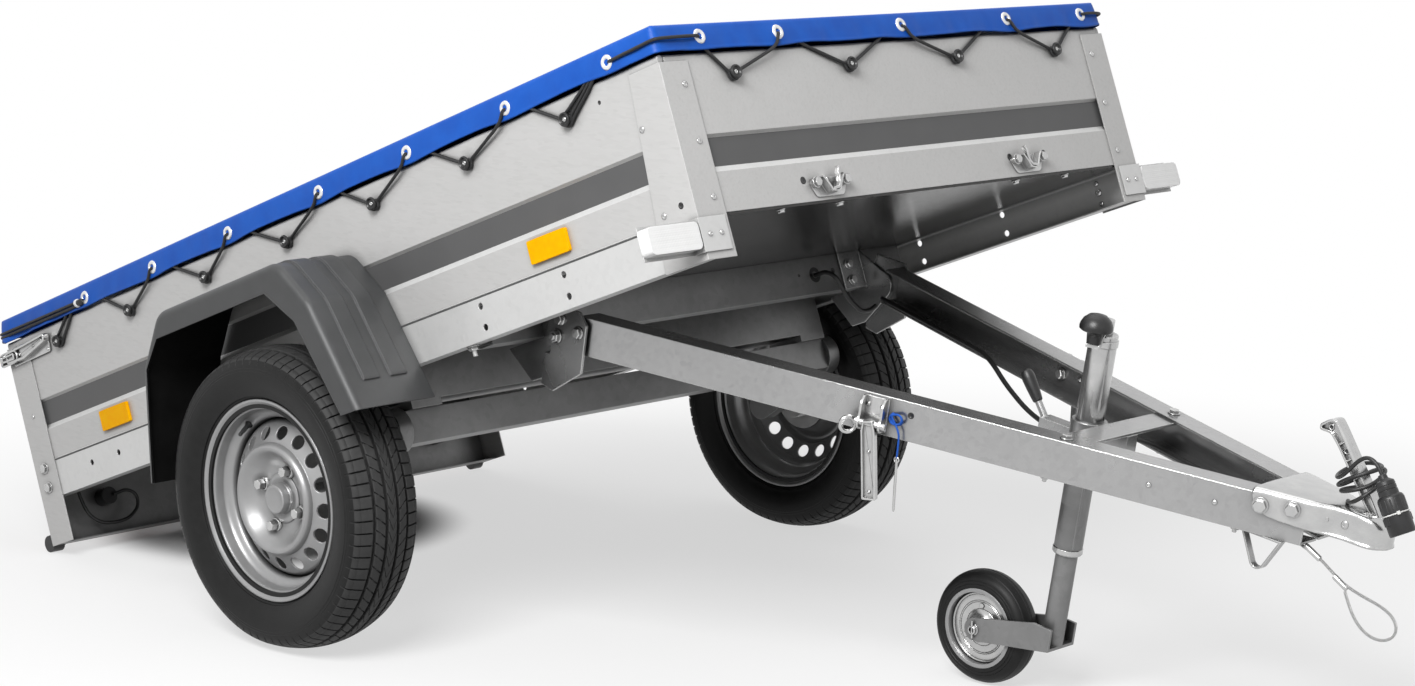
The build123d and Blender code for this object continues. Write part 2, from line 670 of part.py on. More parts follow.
# Tailgate, closed between the rear posts, hung on two bottom hinges
tailgate_half = half_width - REAR_POST_FACE - TAILGATE_SIDE_GAP
knuckle_places = [(side * HINGE_SPREAD) for side in (-1, 1)]
with BuildPart() as tailgate:
    with BuildSketch(side_plane(tailgate_half)):
        add(wall_profile(bed_rear, 1, floor_top, TAILGATE_DEPTH))
    extrude(amount=2 * tailgate_half)
    for y in knuckle_places:
        with BuildSketch(side_plane(y + HINGE_KNUCKLE_LENGTH / 2)):
            with Locations((tailgate_axis_x, tailgate_axis_z)):
                Circle(HINGE_KNUCKLE_RADIUS)
            leaf_x = bed_rear + WALL_SHEET / 2 - HINGE_LEAF / 2
            with Locations((leaf_x, tailgate_axis_z + HINGE_LEAF_HEIGHT / 2)):
                Rectangle(HINGE_LEAF, HINGE_LEAF_HEIGHT)
            with Locations((tailgate_axis_x, tailgate_axis_z)):
                Circle(HINGE_PIN_RADIUS + PIN_CLEARANCE, mode=Mode.SUBTRACT)
        extrude(amount=HINGE_KNUCKLE_LENGTH)
keep(tailgate.part, "tailgate", BED_POSE)

ear_offset = HINGE_KNUCKLE_LENGTH / 2 + PIN_CLEARANCE
with BuildPart() as tailgate_hinges:
    for y in knuckle_places:
        for ear_y in (y + ear_offset + HINGE_EAR, y - ear_offset):
            with BuildSketch(side_plane(ear_y)):
                with Locations((tailgate_axis_x, tailgate_axis_z)):
                    Circle(HINGE_KNUCKLE_RADIUS)
                with Locations(((tailgate_axis_x + panel_x) / 2, tailgate_axis_z)):
                    Rectangle(panel_x - tailgate_axis_x, 2 * HINGE_KNUCKLE_RADIUS)
            extrude(amount=HINGE_EAR)
        with BuildSketch(side_plane(y + ear_offset)):
            with Locations((tailgate_axis_x, tailgate_axis_z)):
                Circle(HINGE_PIN_RADIUS)
        extrude(amount=2 * ear_offset)
keep(tailgate_hinges.part, "tailgate_hinges", BED_POSE)

# Cross members under the floor
beam_half = wall_plane - RAIL_FLANGE - PIN_CLEARANCE
beam_bottom = floor_bottom - BEAM_DEPTH
with BuildPart() as front_beam:
    with BuildSketch(side_plane(beam_half)):
        with BuildLine():
            Polyline(
                (beam_face_x - BEAM_FLANGE, floor_bottom),
                (beam_face_x, floor_bottom),
                (beam_face_x, beam_bottom),
                (beam_face_x - BEAM_FLANGE, beam_bottom),
                (beam_face_x - BEAM_FLANGE, beam_bottom + BEAM_SHEET),
                (beam_face_x - BEAM_SHEET, beam_bottom + BEAM_SHEET),
                (beam_face_x - BEAM_SHEET, floor_bottom - BEAM_SHEET),
                (beam_face_x - BEAM_FLANGE, floor_bottom - BEAM_SHEET),
                close=True,
            )
        make_face()
    extrude(amount=2 * beam_half)
    with BuildSketch(cross_plane(beam_face_x)):
        with Locations((beam_hole_y, floor_bottom - BEAM_DEPTH / 2)):
            Circle(HARNESS_RADIUS + CABLE_LIFT)
    extrude(amount=-BEAM_SHEET, mode=Mode.SUBTRACT)
keep(front_beam.part, "front_beam", BED_POSE)

axle_beam_top = AXLE_BEAM_Z + AXLE_BEAM_SIDE / 2
member_bottom = axle_beam_top + AXLE_PAD_HEIGHT
pad_y = beam_half - AXLE_PAD_WIDTH / 2
with BuildPart() as axle_member:
    with BuildSketch(side_plane(beam_half)):
        with Locations((AXLE_BEAM_X, (member_bottom + floor_bottom) / 2)):
            Rectangle(AXLE_MEMBER_LENGTH, floor_bottom - member_bottom)
            Rectangle(
                AXLE_MEMBER_LENGTH - 2 * BEAM_SHEET,
                floor_bottom - member_bottom - 2 * BEAM_SHEET,
                mode=Mode.SUBTRACT,
            )
    extrude(amount=2 * beam_half)
    with BuildSketch(Plane.XY.offset(axle_beam_top)):
        with Locations((AXLE_BEAM_X, pad_y), (AXLE_BEAM_X, -pad_y)):
            Rectangle(AXLE_MEMBER_LENGTH, AXLE_PAD_WIDTH)
    extrude(amount=AXLE_PAD_HEIGHT)
keep(axle_member.part, "axle_member", BED_POSE)

# Torsion axle: square beam and trailing swing arms with their stubs
arm_outer_y = track_half - TYRE_WIDTH / 2 - ARM_TYRE_GAP
arm_inner_y = arm_outer_y - ARM_THICKNESS
with BuildPart() as axle_beam:
    with BuildSketch(side_plane(arm_inner_y)):
        with Locations((AXLE_BEAM_X, AXLE_BEAM_Z)):
            Rectangle(AXLE_BEAM_SIDE, AXLE_BEAM_SIDE)
            beam_hollow = AXLE_BEAM_SIDE - 2 * AXLE_BEAM_WALL
            Rectangle(beam_hollow, beam_hollow, mode=Mode.SUBTRACT)
    extrude(amount=2 * arm_inner_y)
keep(axle_beam.part, "axle_beam", BED_POSE)

hub_back = track_half + DISC_FACE - RIM_SHEET - 3 * ARM_TYRE_GAP
with BuildPart() as swing_arms:
    with BuildSketch(side_plane(arm_outer_y)):
        with Locations((0, 0)):
            Circle(ARM_END_RADIUS)
        with Locations((AXLE_BEAM_X, AXLE_BEAM_Z)):
            Circle(ARM_EYE_RADIUS)
        make_hull()
    extrude(amount=ARM_THICKNESS)
    with BuildSketch(side_plane(hub_back + 3 * ARM_TYRE_GAP)):
        Circle(STUB_RADIUS)
    extrude(amount=hub_back + 3 * ARM_TYRE_GAP - arm_outer_y)
    mirror(about=Plane.XZ)
keep(swing_arms.part, "swing_arms", BED_POSE)

# Mudguards: a folded arch with a side lip and two raised ribs over its top and front
guard_points = [(x * tyre_radius, z * tyre_radius) for x, z in GUARD_ARCH]
rear_foot, rear_knee, rear_top, front_top, front_knee, front_foot = guard_points
guard_opening = [
    (rear_foot[0] + GUARD_REAR_LIP, rear_foot[1]),
    (rear_knee[0] + GUARD_REAR_LIP, rear_knee[1] - GUARD_REAR_LIP / 3),
    (rear_top[0] - GUARD_REAR_LIP, rear_top[1] - GUARD_LIP),
    (front_top[0] - GUARD_LIP, front_top[1] - GUARD_LIP),
    (front_knee[0] - GUARD_LIP, front_knee[1] - GUARD_LIP / 2),
    (front_foot[0] - GUARD_LIP, front_foot[1]),
]
guard_width = TYRE_SIDE_GAP + TYRE_WIDTH + GUARD_OVERHANG
guard_outer = wall_plane + guard_width


def guard_face(grow):
    """Side outline of the arch, grown by the given amount."""
    with BuildSketch() as face:
        with BuildLine():
            FilletPolyline(*guard_points, radius=GUARD_LIP, close=True)
        make_face()
        offset(amount=grow)
    return face.sketch


with BuildPart() as mudguard:
    with BuildSketch(side_plane(guard_outer)):
        with BuildLine():
            Polyline(*guard_points, close=True)
        make_face()
    extrude(amount=guard_width)
    guard_bends = mudguard.edges().filter_by(Axis.Y).sort_by(Axis.Z)[2:]
    fillet(guard_bends, radius=GUARD_LIP)
    fillet(mudguard.faces().sort_by(Axis.Y)[-1].edges().sort_by(Axis.Z)[1:], radius=GUARD_REAR_LIP)
    guard_foot = mudguard.faces().sort_by(Axis.Z)[0]
    guard_back = mudguard.faces().sort_by(Axis.Y)[0]
    offset(amount=-GUARD_SHEET, openings=[guard_foot, guard_back])
    with BuildSketch(side_plane(guard_outer)):
        with BuildLine():
            Polyline(*guard_opening, close=True)
        make_face()
    extrude(amount=GUARD_SHEET, mode=Mode.SUBTRACT)
    for inset in GUARD_RIB_INSETS:
        with BuildSketch(side_plane(wall_plane + inset + GUARD_RIB_WIDTH)):
            add(guard_face(GUARD_RIB_RISE))
            add(guard_face(-GUARD_SHEET / 2), mode=Mode.SUBTRACT)
            with Locations(((rear_top[0] + front_foot[0]) / 2 + GUARD_LIP, rear_top[1])):
                Rectangle(front_foot[0] - rear_top[0], rear_top[1] + front_foot[1], mode=Mode.INTERSECT)
        extrude(amount=GUARD_RIB_WIDTH)
keep_pair(mudguard.part, "mudguard", BED_POSE)

# Road wheels, revolved about the wheel axis
rim_flange_radius = RIM_SEAT_RADIUS + RIM_FLANGE_HEIGHT
rim_well_radius = RIM_SEAT_RADIUS - RIM_WELL_DROP
vent_circle = rim_well_radius - VENT_INSET
recess_radius = vent_circle - RECESS_INSET
half_rim = RIM_WIDTH / 2
flange_lip = half_rim + 2 * RIM_SHEET
bead_half = half_rim - BEAD_CLEARANCE
tyre_half = TYRE_WIDTH / 2
tyre_shoulder = tyre_radius - SHOULDER_DROP
tyre_belly = (tyre_radius + rim_flange_radius) / 2


def tyre_profile():
    """Half section of the road tyre, local x radial and local y along the axle."""
    with BuildSketch() as section:
        with BuildLine():
            seat = RIM_SEAT_RADIUS + BEAD_CLEARANCE
            shoulder_y = tyre_half - SHOULDER_SIDE
            bulge = (tyre_shoulder - 0.8 * SHOULDER_SIDE, tyre_half - SHOULDER_SIDE / 3)
            Polyline(
                (tyre_belly, tyre_half),
                (rim_flange_radius, bead_half),
                (seat, bead_half),
                (seat, -bead_half),
                (rim_flange_radius, -bead_half),
                (tyre_belly, -tyre_half),
            )
            ThreePointArc((tyre_belly, -tyre_half), (bulge[0], -bulge[1]), (tyre_shoulder, -shoulder_y))
            ThreePointArc((tyre_shoulder, -shoulder_y), (tyre_radius, 0), (tyre_shoulder, shoulder_y))
            ThreePointArc((tyre_shoulder, shoulder_y), bulge, (tyre_belly, tyre_half))
        make_face()
    return section.sketch


with BuildPart() as tyre:
    with BuildSketch(Plane((0, track_half, 0))):
        add(tyre_profile())
    revolve(axis=Axis.Y)
keep_pair(tyre.part, "tyre", BED_POSE)

with BuildPart() as rim:
    with BuildSketch(Plane((0, track_half, 0))):
        with BuildLine():
            Polyline(
                (rim_flange_radius, flange_lip),
                (rim_flange_radius, half_rim),
                (RIM_SEAT_RADIUS, half_rim),
                (RIM_SEAT_RADIUS, half_rim * 0.6),
                (rim_well_radius, half_rim * 0.4),
                (rim_well_radius, -half_rim * 0.4),
                (RIM_SEAT_RADIUS, -half_rim * 0.6),
                (RIM_SEAT_RADIUS, -half_rim),
                (rim_flange_radius, -half_rim),
                (rim_flange_radius, -flange_lip),
                (RIM_SEAT_RADIUS - RIM_SHEET, -half_rim - RIM_SHEET),
                (RIM_SEAT_RADIUS - RIM_SHEET, -half_rim * 0.6),
                (rim_well_radius - RIM_SHEET, -half_rim * 0.4),
                (rim_well_radius - RIM_SHEET, half_rim * 0.4),
                (RIM_SEAT_RADIUS - RIM_SHEET, half_rim * 0.6),
                (RIM_SEAT_RADIUS - RIM_SHEET, half_rim + RIM_SHEET),
                close=True,
            )
        make_face()
        with BuildLine():
            Polyline(
                (HUB_BORE_RADIUS, DISC_FACE),
                (recess_radius - RECESS_SLOPE, DISC_FACE),
                (recess_radius, DISC_CROWN),
                (vent_circle + 1.3 * VENT_RADIUS, DISC_CROWN - RIM_SHEET),
                (rim_well_radius - RIM_SHEET / 2, half_rim * 0.3),
                (rim_well_radius - RIM_SHEET / 2, half_rim * 0.3 - 2 * RIM_SHEET),
                (vent_circle + 1.3 * VENT_RADIUS, DISC_CROWN - 2 * RIM_SHEET),
                (recess_radius + RIM_SHEET, DISC_CROWN - RIM_SHEET),
                (recess_radius - RECESS_SLOPE + RIM_SHEET, DISC_FACE - RIM_SHEET),
                (HUB_BORE_RADIUS, DISC_FACE - RIM_SHEET),
                close=True,
            )
        make_face()
    revolve(axis=Axis.Y)
    with BuildSketch(side_plane(track_half + DISC_CROWN)):
        with PolarLocations(vent_circle, VENT_COUNT):
            Circle(VENT_RADIUS)
    extrude(amount=3 * RIM_SHEET, mode=Mode.SUBTRACT)
keep_pair(rim.part, "rim", BED_POSE)

hub_face = DISC_FACE - RIM_SHEET
hub_start = hub_back - track_half
with BuildPart() as hub:
    with BuildSketch(Plane((0, track_half, 0))):
        with BuildLine():
            Polyline(
                (0, hub_face + HUB_CAP_REACH),
                (HUB_CAP_RADIUS - RIM_SHEET, hub_face + HUB_CAP_REACH),
                (HUB_CAP_RADIUS, hub_face + HUB_CAP_REACH - RIM_SHEET),
                (HUB_CAP_RADIUS, hub_face),
                (HUB_FLANGE_RADIUS, hub_face),
                (HUB_FLANGE_RADIUS, hub_face - 3 * RIM_SHEET),
                (HUB_BARREL_RADIUS, hub_face - 3 * RIM_SHEET),
                (HUB_BARREL_RADIUS, hub_start),
                (STUB_RADIUS + STUB_CLEARANCE, hub_start),
                (STUB_RADIUS + STUB_CLEARANCE, hub_face + STUB_CLEARANCE),
                (0, hub_face + STUB_CLEARANCE),
                close=True,
            )
        make_face()
    revolve(axis=Axis.Y)
keep_pair(hub.part, "hub", BED_POSE)

# Tilt hinge brackets on the front beam: a cheek with the pivot and a toe below, and a flange
with BuildPart() as hinge_bracket:
    with BuildSketch(side_plane(hinge_y - HINGE_LAYER_GAP)):
        with BuildLine():
            Polyline(
                (beam_face_x, floor_bottom),
                (beam_face_x, beam_bottom),
                (STOP_REAR_X, beam_bottom),
                (STOP_TOE_X - STOP_TOE_LENGTH / 2, STOP_BOTTOM_Z),
                (STOP_TOE_X + STOP_TOE_LENGTH / 2, STOP_BOTTOM_Z),
                (PIVOT_X + HINGE_CHEEK_RADIUS * sin(tip), PIVOT_Z - HINGE_CHEEK_RADIUS * cos(tip)),
                (PIVOT_X + HINGE_CHEEK_RADIUS * cos(tip), PIVOT_Z + HINGE_CHEEK_RADIUS * sin(tip)),
                (beam_face_x + HINGE_CHEEK, floor_bottom),
                close=True,
            )
        make_face()
        with Locations((PIVOT_X, PIVOT_Z)):
            Circle(HINGE_CHEEK_RADIUS)
    extrude(amount=HINGE_CHEEK)
    with BuildSketch(cross_plane(beam_face_x)):
        flange_y = hinge_y - HINGE_LAYER_GAP - HINGE_CHEEK - HINGE_FLANGE / 2
        with Locations((flange_y, floor_bottom - BEAM_DEPTH / 2)):
            Rectangle(HINGE_FLANGE, BEAM_DEPTH)
    extrude(amount=HINGE_CHEEK)
    with BuildSketch(side_plane(hinge_y + PLATE_SHEET + 2 * HINGE_LAYER_GAP)):
        with Locations((PIVOT_X, PIVOT_Z)):
            Circle(PIVOT_RADIUS)
    extrude(amount=PLATE_SHEET + 4 * HINGE_LAYER_GAP)
    mirror(about=Plane.XZ)
keep(hinge_bracket.part, "hinge_brackets", BED_POSE)

# Latch saddles on the front wall, in line with the drawbar arms when the bed is down
saddle_y = arm_y(BED_FRONT - PIVOT_X) - ARM_FLANGE / 4
saddle_z = front_wall_bottom + SADDLE_DROP + SADDLE_HEIGHT / 2
with BuildPart() as latch_saddles:
    with BuildSketch(cross_plane(front_plane_x)):
        with Locations((saddle_y, saddle_z)):
            RectangleRounded(SADDLE_WIDTH, SADDLE_HEIGHT, SADDLE_HEIGHT / 8)
    extrude(amount=SADDLE_SHEET)
    with BuildSketch(side_plane(saddle_y + SADDLE_HOOK_WIDTH / 2)):
        with BuildLine():
            Polyline(
                (front_plane_x, saddle_z + SADDLE_HEIGHT / 4),
                (front_plane_x + SADDLE_HOOK_REACH, saddle_z - SADDLE_HEIGHT / 8),
                (front_plane_x + SADDLE_HOOK_REACH, saddle_z - SADDLE_HEIGHT / 2),
                (front_plane_x + SADDLE_HOOK_REACH - SADDLE_SHEET, saddle_z - SADDLE_HEIGHT / 2),
                (front_plane_x + SADDLE_HOOK_REACH - SADDLE_SHEET, saddle_z - SADDLE_HEIGHT / 8 - SADDLE_SHEET),
                (front_plane_x, saddle_z + SADDLE_HEIGHT / 4 - 2 * SADDLE_SHEET),
                close=True,
            )
        make_face()
    extrude(amount=SADDLE_HOOK_WIDTH)
    mirror(about=Plane.XZ)
keep(latch_saddles.part, "latch_saddles", BED_POSE)

# Drawbar arms: channels open to the inside, mitred at both ends
def arm_strip(width):
    """Plan outline of an arm strip of the given width, measured square to the arm."""
    with BuildSketch() as plan:
        with BuildLine():
            Polyline(
                (ARM_REAR, arm_rear_y),
                (ARM_FRONT, ARM_FRONT_Y),
                (ARM_FRONT, ARM_FRONT_Y - width / lean),
                (ARM_REAR, arm_rear_y - width / lean),
                close=True,
            )
        make_face()
        with Locations(((ARM_REAR + ARM_FRONT) / 2, ARM_CENTRE_GAP + arm_rear_y / 2)):
            Rectangle(ARM_FRONT, arm_rear_y, mode=Mode.INTERSECT)
    return plan.sketch


with BuildPart() as drawbar_arm:
    with BuildSketch(Plane.XY.offset(arm_bottom)):
        add(arm_strip(ARM_SHEET))
    extrude(amount=ARM_DEPTH)
    with BuildSketch(Plane.XY.offset(arm_bottom)):
        add(arm_strip(ARM_FLANGE))
    extrude(amount=ARM_SHEET)
    with BuildSketch(Plane.XY.offset(arm_top - ARM_SHEET)):
        add(arm_strip(ARM_FLANGE))
    extrude(amount=ARM_SHEET)
keep_pair(drawbar_arm.part, "drawbar_arm", BAR_POSE)

# Hinge plates at the rear ends of the arms, notched at the back
with BuildPart() as hinge_plate:
    with BuildSketch(side_plane(hinge_y + PLATE_SHEET)):
        with BuildLine():
            Polyline(
                (-PLATE_REAR, PLATE_TOP),
                (PLATE_FRONT - PLATE_SHEET * 4, PLATE_TOP),
                (PLATE_FRONT, PLATE_TOP - PLATE_SHEET * 4),
                (PLATE_FRONT, PLATE_CHAMFER - PLATE_BOTTOM),
                (PLATE_REAR / 5, -PLATE_BOTTOM),
                (-PLATE_REAR, PLATE_SHEET - PLATE_BOTTOM),
                close=True,
            )
        make_face()
        with Locations((0, 0)):
            Circle(PIVOT_RADIUS + PIN_CLEARANCE, mode=Mode.SUBTRACT)
        with Locations((NOTCH_DEPTH - NOTCH_RADIUS - PLATE_REAR, -NOTCH_DROP)):
            Circle(NOTCH_RADIUS, mode=Mode.SUBTRACT)
        with Locations(((NOTCH_DEPTH - NOTCH_RADIUS) / 2 - PLATE_REAR, -NOTCH_DROP)):
            Rectangle(NOTCH_DEPTH - NOTCH_RADIUS, 2 * NOTCH_RADIUS, mode=Mode.SUBTRACT)
    extrude(amount=PLATE_SHEET)
    mirror(about=Plane.XZ)
keep(hinge_plate.part, "hinge_plates", BAR_POSE)

# Tilt latches on the outer faces of the arms
latch_y = arm_y(LATCH_X)
arm_out = Plane((LATCH_X, latch_y, ARM_MID_Z), x_dir=(cos(arm_taper), -sin(arm_taper), 0), z_dir=(0, 0, 1))
with BuildPart(arm_out) as tilt_latch:
    with Locations((0, LATCH_SHEET / 2, 0)):
        Box(LATCH_WIDTH, LATCH_SHEET, ARM_DEPTH - 2 * LATCH_SHEET)
    latch_holes = [(side * LATCH_WIDTH / 3, LATCH_DEPTH / 2, LATCH_SHEET) for side in (-1, 1)]
    with Locations(*latch_holes):
        Box(LATCH_SHEET, LATCH_DEPTH, ARM_DEPTH - 6 * LATCH_SHEET)
    with Locations((0, LATCH_DEPTH - LATCH_PIN_RADIUS, LATCH_SHEET - ARM_DEPTH / 4)):
        Cylinder(LATCH_PIN_RADIUS, LATCH_WIDTH, rotation=(0, 90, 0))
    with Locations((0, LATCH_DEPTH - LATCH_PIN_RADIUS, LATCH_SHEET - ARM_DEPTH / 4 - LATCH_LEVER_LENGTH / 2)):
        Box(LATCH_LEVER_WIDTH, LATCH_LEVER_SHEET, LATCH_LEVER_LENGTH)
    mirror(about=Plane.XZ)
keep(tilt_latch.part, "tilt_latches", BAR_POSE)

# Cross strip under the top flanges of the arms, ahead of the jockey tube
strip_rear_x = JOCKEY_X + JOCKEY_TUBE_RADIUS + CROSS_STRIP_GAP
strip_front_x = strip_rear_x + CROSS_STRIP_WIDTH
cross_top = arm_top - ARM_SHEET
web = ARM_SHEET / lean + PIN_CLEARANCE
with BuildPart() as cross_strip:
    with BuildSketch(Plane.XY.offset(cross_top - CROSS_STRIP_SHEET)):
        with BuildLine():
            Polyline(
                (strip_rear_x, arm_y(strip_rear_x) - web),
                (strip_front_x, arm_y(strip_front_x) - web),
                (strip_front_x, web - arm_y(strip_front_x)),
                (strip_rear_x, web - arm_y(strip_rear_x)),
                close=True,
            )
        make_face()
    extrude(amount=CROSS_STRIP_SHEET)
keep(cross_strip.part, "cross_strip", BAR_POSE)

# Jockey clamp: a collar below the strip, its lug with a locking lever, and the lever's grip
clamp_bottom = cross_top - CROSS_STRIP_SHEET - CLAMP_HEIGHT
lug_x = JOCKEY_X - JOCKEY_TUBE_RADIUS - CLAMP_LUG_LENGTH
lug_z = clamp_bottom + CLAMP_HEIGHT / 3
lever_lean = radians(CLAMP_LEVER_ANGLE)
lever_way = (cos(lever_lean), 0, sin(lever_lean))
lever_line = Plane((lug_x + CLAMP_LUG_WIDTH / 2, 0, lug_z), x_dir=(0, 1, 0), z_dir=lever_way)
with BuildPart() as jockey_clamp:
    with BuildSketch(Plane.XY.offset(clamp_bottom)):
        with Locations((JOCKEY_X, 0)):
            Circle(JOCKEY_TUBE_RADIUS + CLAMP_WALL)
        with Locations(((JOCKEY_X + strip_front_x) / 2, 0)):
            Rectangle(strip_front_x - JOCKEY_X, CLAMP_LUG_WIDTH)
        with Locations((JOCKEY_X, 0)):
            Circle(JOCKEY_TUBE_RADIUS, mode=Mode.SUBTRACT)
    extrude(amount=CLAMP_HEIGHT)
    with BuildSketch(Plane.XY.offset(clamp_bottom)):
        with Locations(((lug_x + JOCKEY_X) / 2, 0)):
            Rectangle(JOCKEY_X - lug_x, CLAMP_LUG_WIDTH)
        with Locations((JOCKEY_X, 0)):
            Circle(JOCKEY_TUBE_RADIUS, mode=Mode.SUBTRACT)
    extrude(amount=CLAMP_HEIGHT * 2 / 3)
    with BuildSketch(lever_line):
        Circle(CLAMP_LEVER_RADIUS)
    extrude(amount=CLAMP_LEVER_LENGTH)
keep(jockey_clamp.part, "jockey_clamp", BAR_POSE)

with BuildPart() as jockey_tube:
    with BuildSketch(Plane.XY.offset(-JOCKEY_TUBE_BOTTOM)):
        with Locations((JOCKEY_X, 0)):
            Circle(JOCKEY_TUBE_RADIUS)
            Circle(JOCKEY_TUBE_RADIUS - JOCKEY_TUBE_WALL, mode=Mode.SUBTRACT)
    extrude(amount=JOCKEY_TUBE_BOTTOM + JOCKEY_TUBE_TOP)
    with BuildSketch(Plane.XY.offset(JOCKEY_TUBE_TOP)):
        with Locations((JOCKEY_X, 0)):
            Circle(JOCKEY_TUBE_RADIUS)
            Circle(SPINDLE_RADIUS + PIN_CLEARANCE, mode=Mode.SUBTRACT)
    extrude(amount=JOCKEY_TUBE_WALL * 2)
keep(jockey_tube.part, "jockey_tube", BAR_POSE)

# Jockey crank: spindle with its boss, a bar folded down beside the tube, and an upright for the knob
crank_z = JOCKEY_TUBE_TOP + JOCKEY_TUBE_WALL * 2
crank_turn = radians(CRANK_ANGLE)
crank_out = (cos(crank_turn), sin(crank_turn), 0)
crank_flat = Plane((JOCKEY_X, 0, crank_z), x_dir=crank_out, z_dir=(0, 0, 1))
crank_side = Plane((JOCKEY_X, 0, crank_z), x_dir=crank_out, z_dir=(sin(crank_turn), -cos(crank_turn), 0))
knob_base = CRANK_SHEET
with BuildPart() as jockey_crank:
    with BuildSketch(Plane.XY.offset(-JOCKEY_TUBE_BOTTOM / 2)):
        with Locations((JOCKEY_X, 0)):
            Circle(SPINDLE_RADIUS)
    extrude(amount=JOCKEY_TUBE_BOTTOM / 2 + crank_z)
    with BuildSketch(crank_flat):
        Circle(SPINDLE_RADIUS + CRANK_SHEET)
    extrude(amount=CRANK_BOSS_HEIGHT)
    with BuildSketch(crank_side):
        with BuildLine():
            Polyline(
                (0, CRANK_BOSS_HEIGHT),
                (CRANK_REACH + CRANK_SHEET, CRANK_BOSS_HEIGHT - CRANK_DROP),
                (CRANK_REACH + CRANK_SHEET, CRANK_BOSS_HEIGHT - CRANK_DROP - CRANK_SHEET),
                (CRANK_REACH - CRANK_SHEET, CRANK_BOSS_HEIGHT - CRANK_DROP - CRANK_SHEET),
                (JOCKEY_TUBE_RADIUS + CRANK_SHEET / 2, CRANK_SHEET / 2),
                (0, CRANK_BOSS_HEIGHT - 2 * CRANK_SHEET),
                close=True,
            )
        make_face()
    extrude(amount=CRANK_WIDTH / 2, both=True)
    with BuildSketch(crank_flat.offset(CRANK_BOSS_HEIGHT - CRANK_DROP - CRANK_SHEET)):
        with Locations((CRANK_REACH, 0)):
            Circle(CRANK_UPRIGHT_RADIUS)
    extrude(amount=knob_base - CRANK_BOSS_HEIGHT + CRANK_DROP + CRANK_SHEET)
keep(jockey_crank.part, "jockey_crank", BAR_POSE)

# Black grips: the crank's mushroom knob and the sleeve on the clamp's lever
with BuildPart() as jockey_grips:
    with BuildSketch(crank_flat.offset(knob_base)):
        with Locations((CRANK_REACH, 0)):
            Circle(GRIP_RADIUS / 2)
    extrude(amount=GRIP_NECK)
    with BuildSketch(crank_flat.offset(knob_base + GRIP_NECK)):
        with Locations((CRANK_REACH, 0)):
            Circle(GRIP_RADIUS)
    extrude(amount=GRIP_HEIGHT)
    fillet(jockey_grips.edges().group_by(Axis.Z)[-1], radius=GRIP_DOME)
    with BuildSketch(lever_line.offset(CLAMP_LEVER_LENGTH)):
        Circle(CLAMP_GRIP_RADIUS)
    extrude(amount=CLAMP_GRIP_LENGTH)
keep(jockey_grips.part, "jockey_grips", BAR_POSE)

# Spindle nut that slides in the tube, and the inner tube with its fork
inner_top = ARM_MID_Z
inner_radius = JOCKEY_TUBE_RADIUS - JOCKEY_TUBE_WALL - JOCKEY_TUBE_FIT
with BuildPart() as jockey_nut:
    with BuildSketch(Plane.XY.offset(inner_top)):
        with Locations((JOCKEY_X, 0)):
            Circle(JOCKEY_TUBE_RADIUS - JOCKEY_TUBE_WALL - PIN_CLEARANCE)
            Circle(SPINDLE_RADIUS + PIN_CLEARANCE, mode=Mode.SUBTRACT)
    extrude(amount=NUT_HEIGHT)
keep(jockey_nut.part, "jockey_nut", BAR_POSE)

fork_inner = JOCKEY_WHEEL_WIDTH / 2 + FORK_SIDE_GAP
with BuildPart() as jockey_fork:
    with BuildSketch(Plane.XY.offset(jockey_inner_bottom)):
        with Locations((JOCKEY_X, 0)):
            Circle(inner_radius)
            Circle(inner_radius - JOCKEY_INNER_WALL, mode=Mode.SUBTRACT)
    extrude(amount=inner_top - PIN_CLEARANCE - jockey_inner_bottom)
    for y in (fork_inner + FORK_SHEET, -fork_inner):
        with BuildSketch(side_plane(y)):
            with Locations((jockey_wheel_x, jockey_wheel_z)):
                Circle(FORK_WIDTH / 2)
            with Locations((JOCKEY_X, jockey_inner_bottom + FORK_WIDTH / 2)):
                Rectangle(2 * inner_radius, FORK_WIDTH)
            make_hull()
        extrude(amount=FORK_SHEET)
    with BuildSketch(Plane.XY.offset(jockey_inner_bottom)):
        with Locations((JOCKEY_X, 0)):
            Rectangle(2 * inner_radius, 2 * fork_inner)
    extrude(amount=FORK_SHEET)
    with BuildSketch(side_plane(fork_inner)):
        with Locations((jockey_wheel_x, jockey_wheel_z)):
            Circle(JOCKEY_PIN_RADIUS)
    extrude(amount=2 * fork_inner)
keep(jockey_fork.part, "jockey_fork", BAR_POSE)

jockey_axle = Plane((jockey_wheel_x, 0, jockey_wheel_z))
with BuildPart() as jockey_rim:
    with BuildSketch(jockey_axle):
        with BuildLine():
            half = JOCKEY_WHEEL_WIDTH / 2
            bore = JOCKEY_PIN_RADIUS + PIN_CLEARANCE
            Polyline(
                (bore, half),
                (2 * bore, half),
                (2 * bore, half / 2),
                (JOCKEY_RIM_RADIUS - half / 4, half / 2),
                (JOCKEY_RIM_RADIUS - half / 4, half),
                (JOCKEY_RIM_RADIUS, half),
                (JOCKEY_RIM_RADIUS, -half),
                (JOCKEY_RIM_RADIUS - half / 4, -half),
                (JOCKEY_RIM_RADIUS - half / 4, -half / 2),
                (2 * bore, -half / 2),
                (2 * bore, -half),
                (bore, -half),
                close=True,
            )
        make_face()
    revolve(axis=Axis((jockey_wheel_x, 0, jockey_wheel_z), (0, 1, 0)))
keep(jockey_rim.part, "jockey_rim", BAR_POSE)

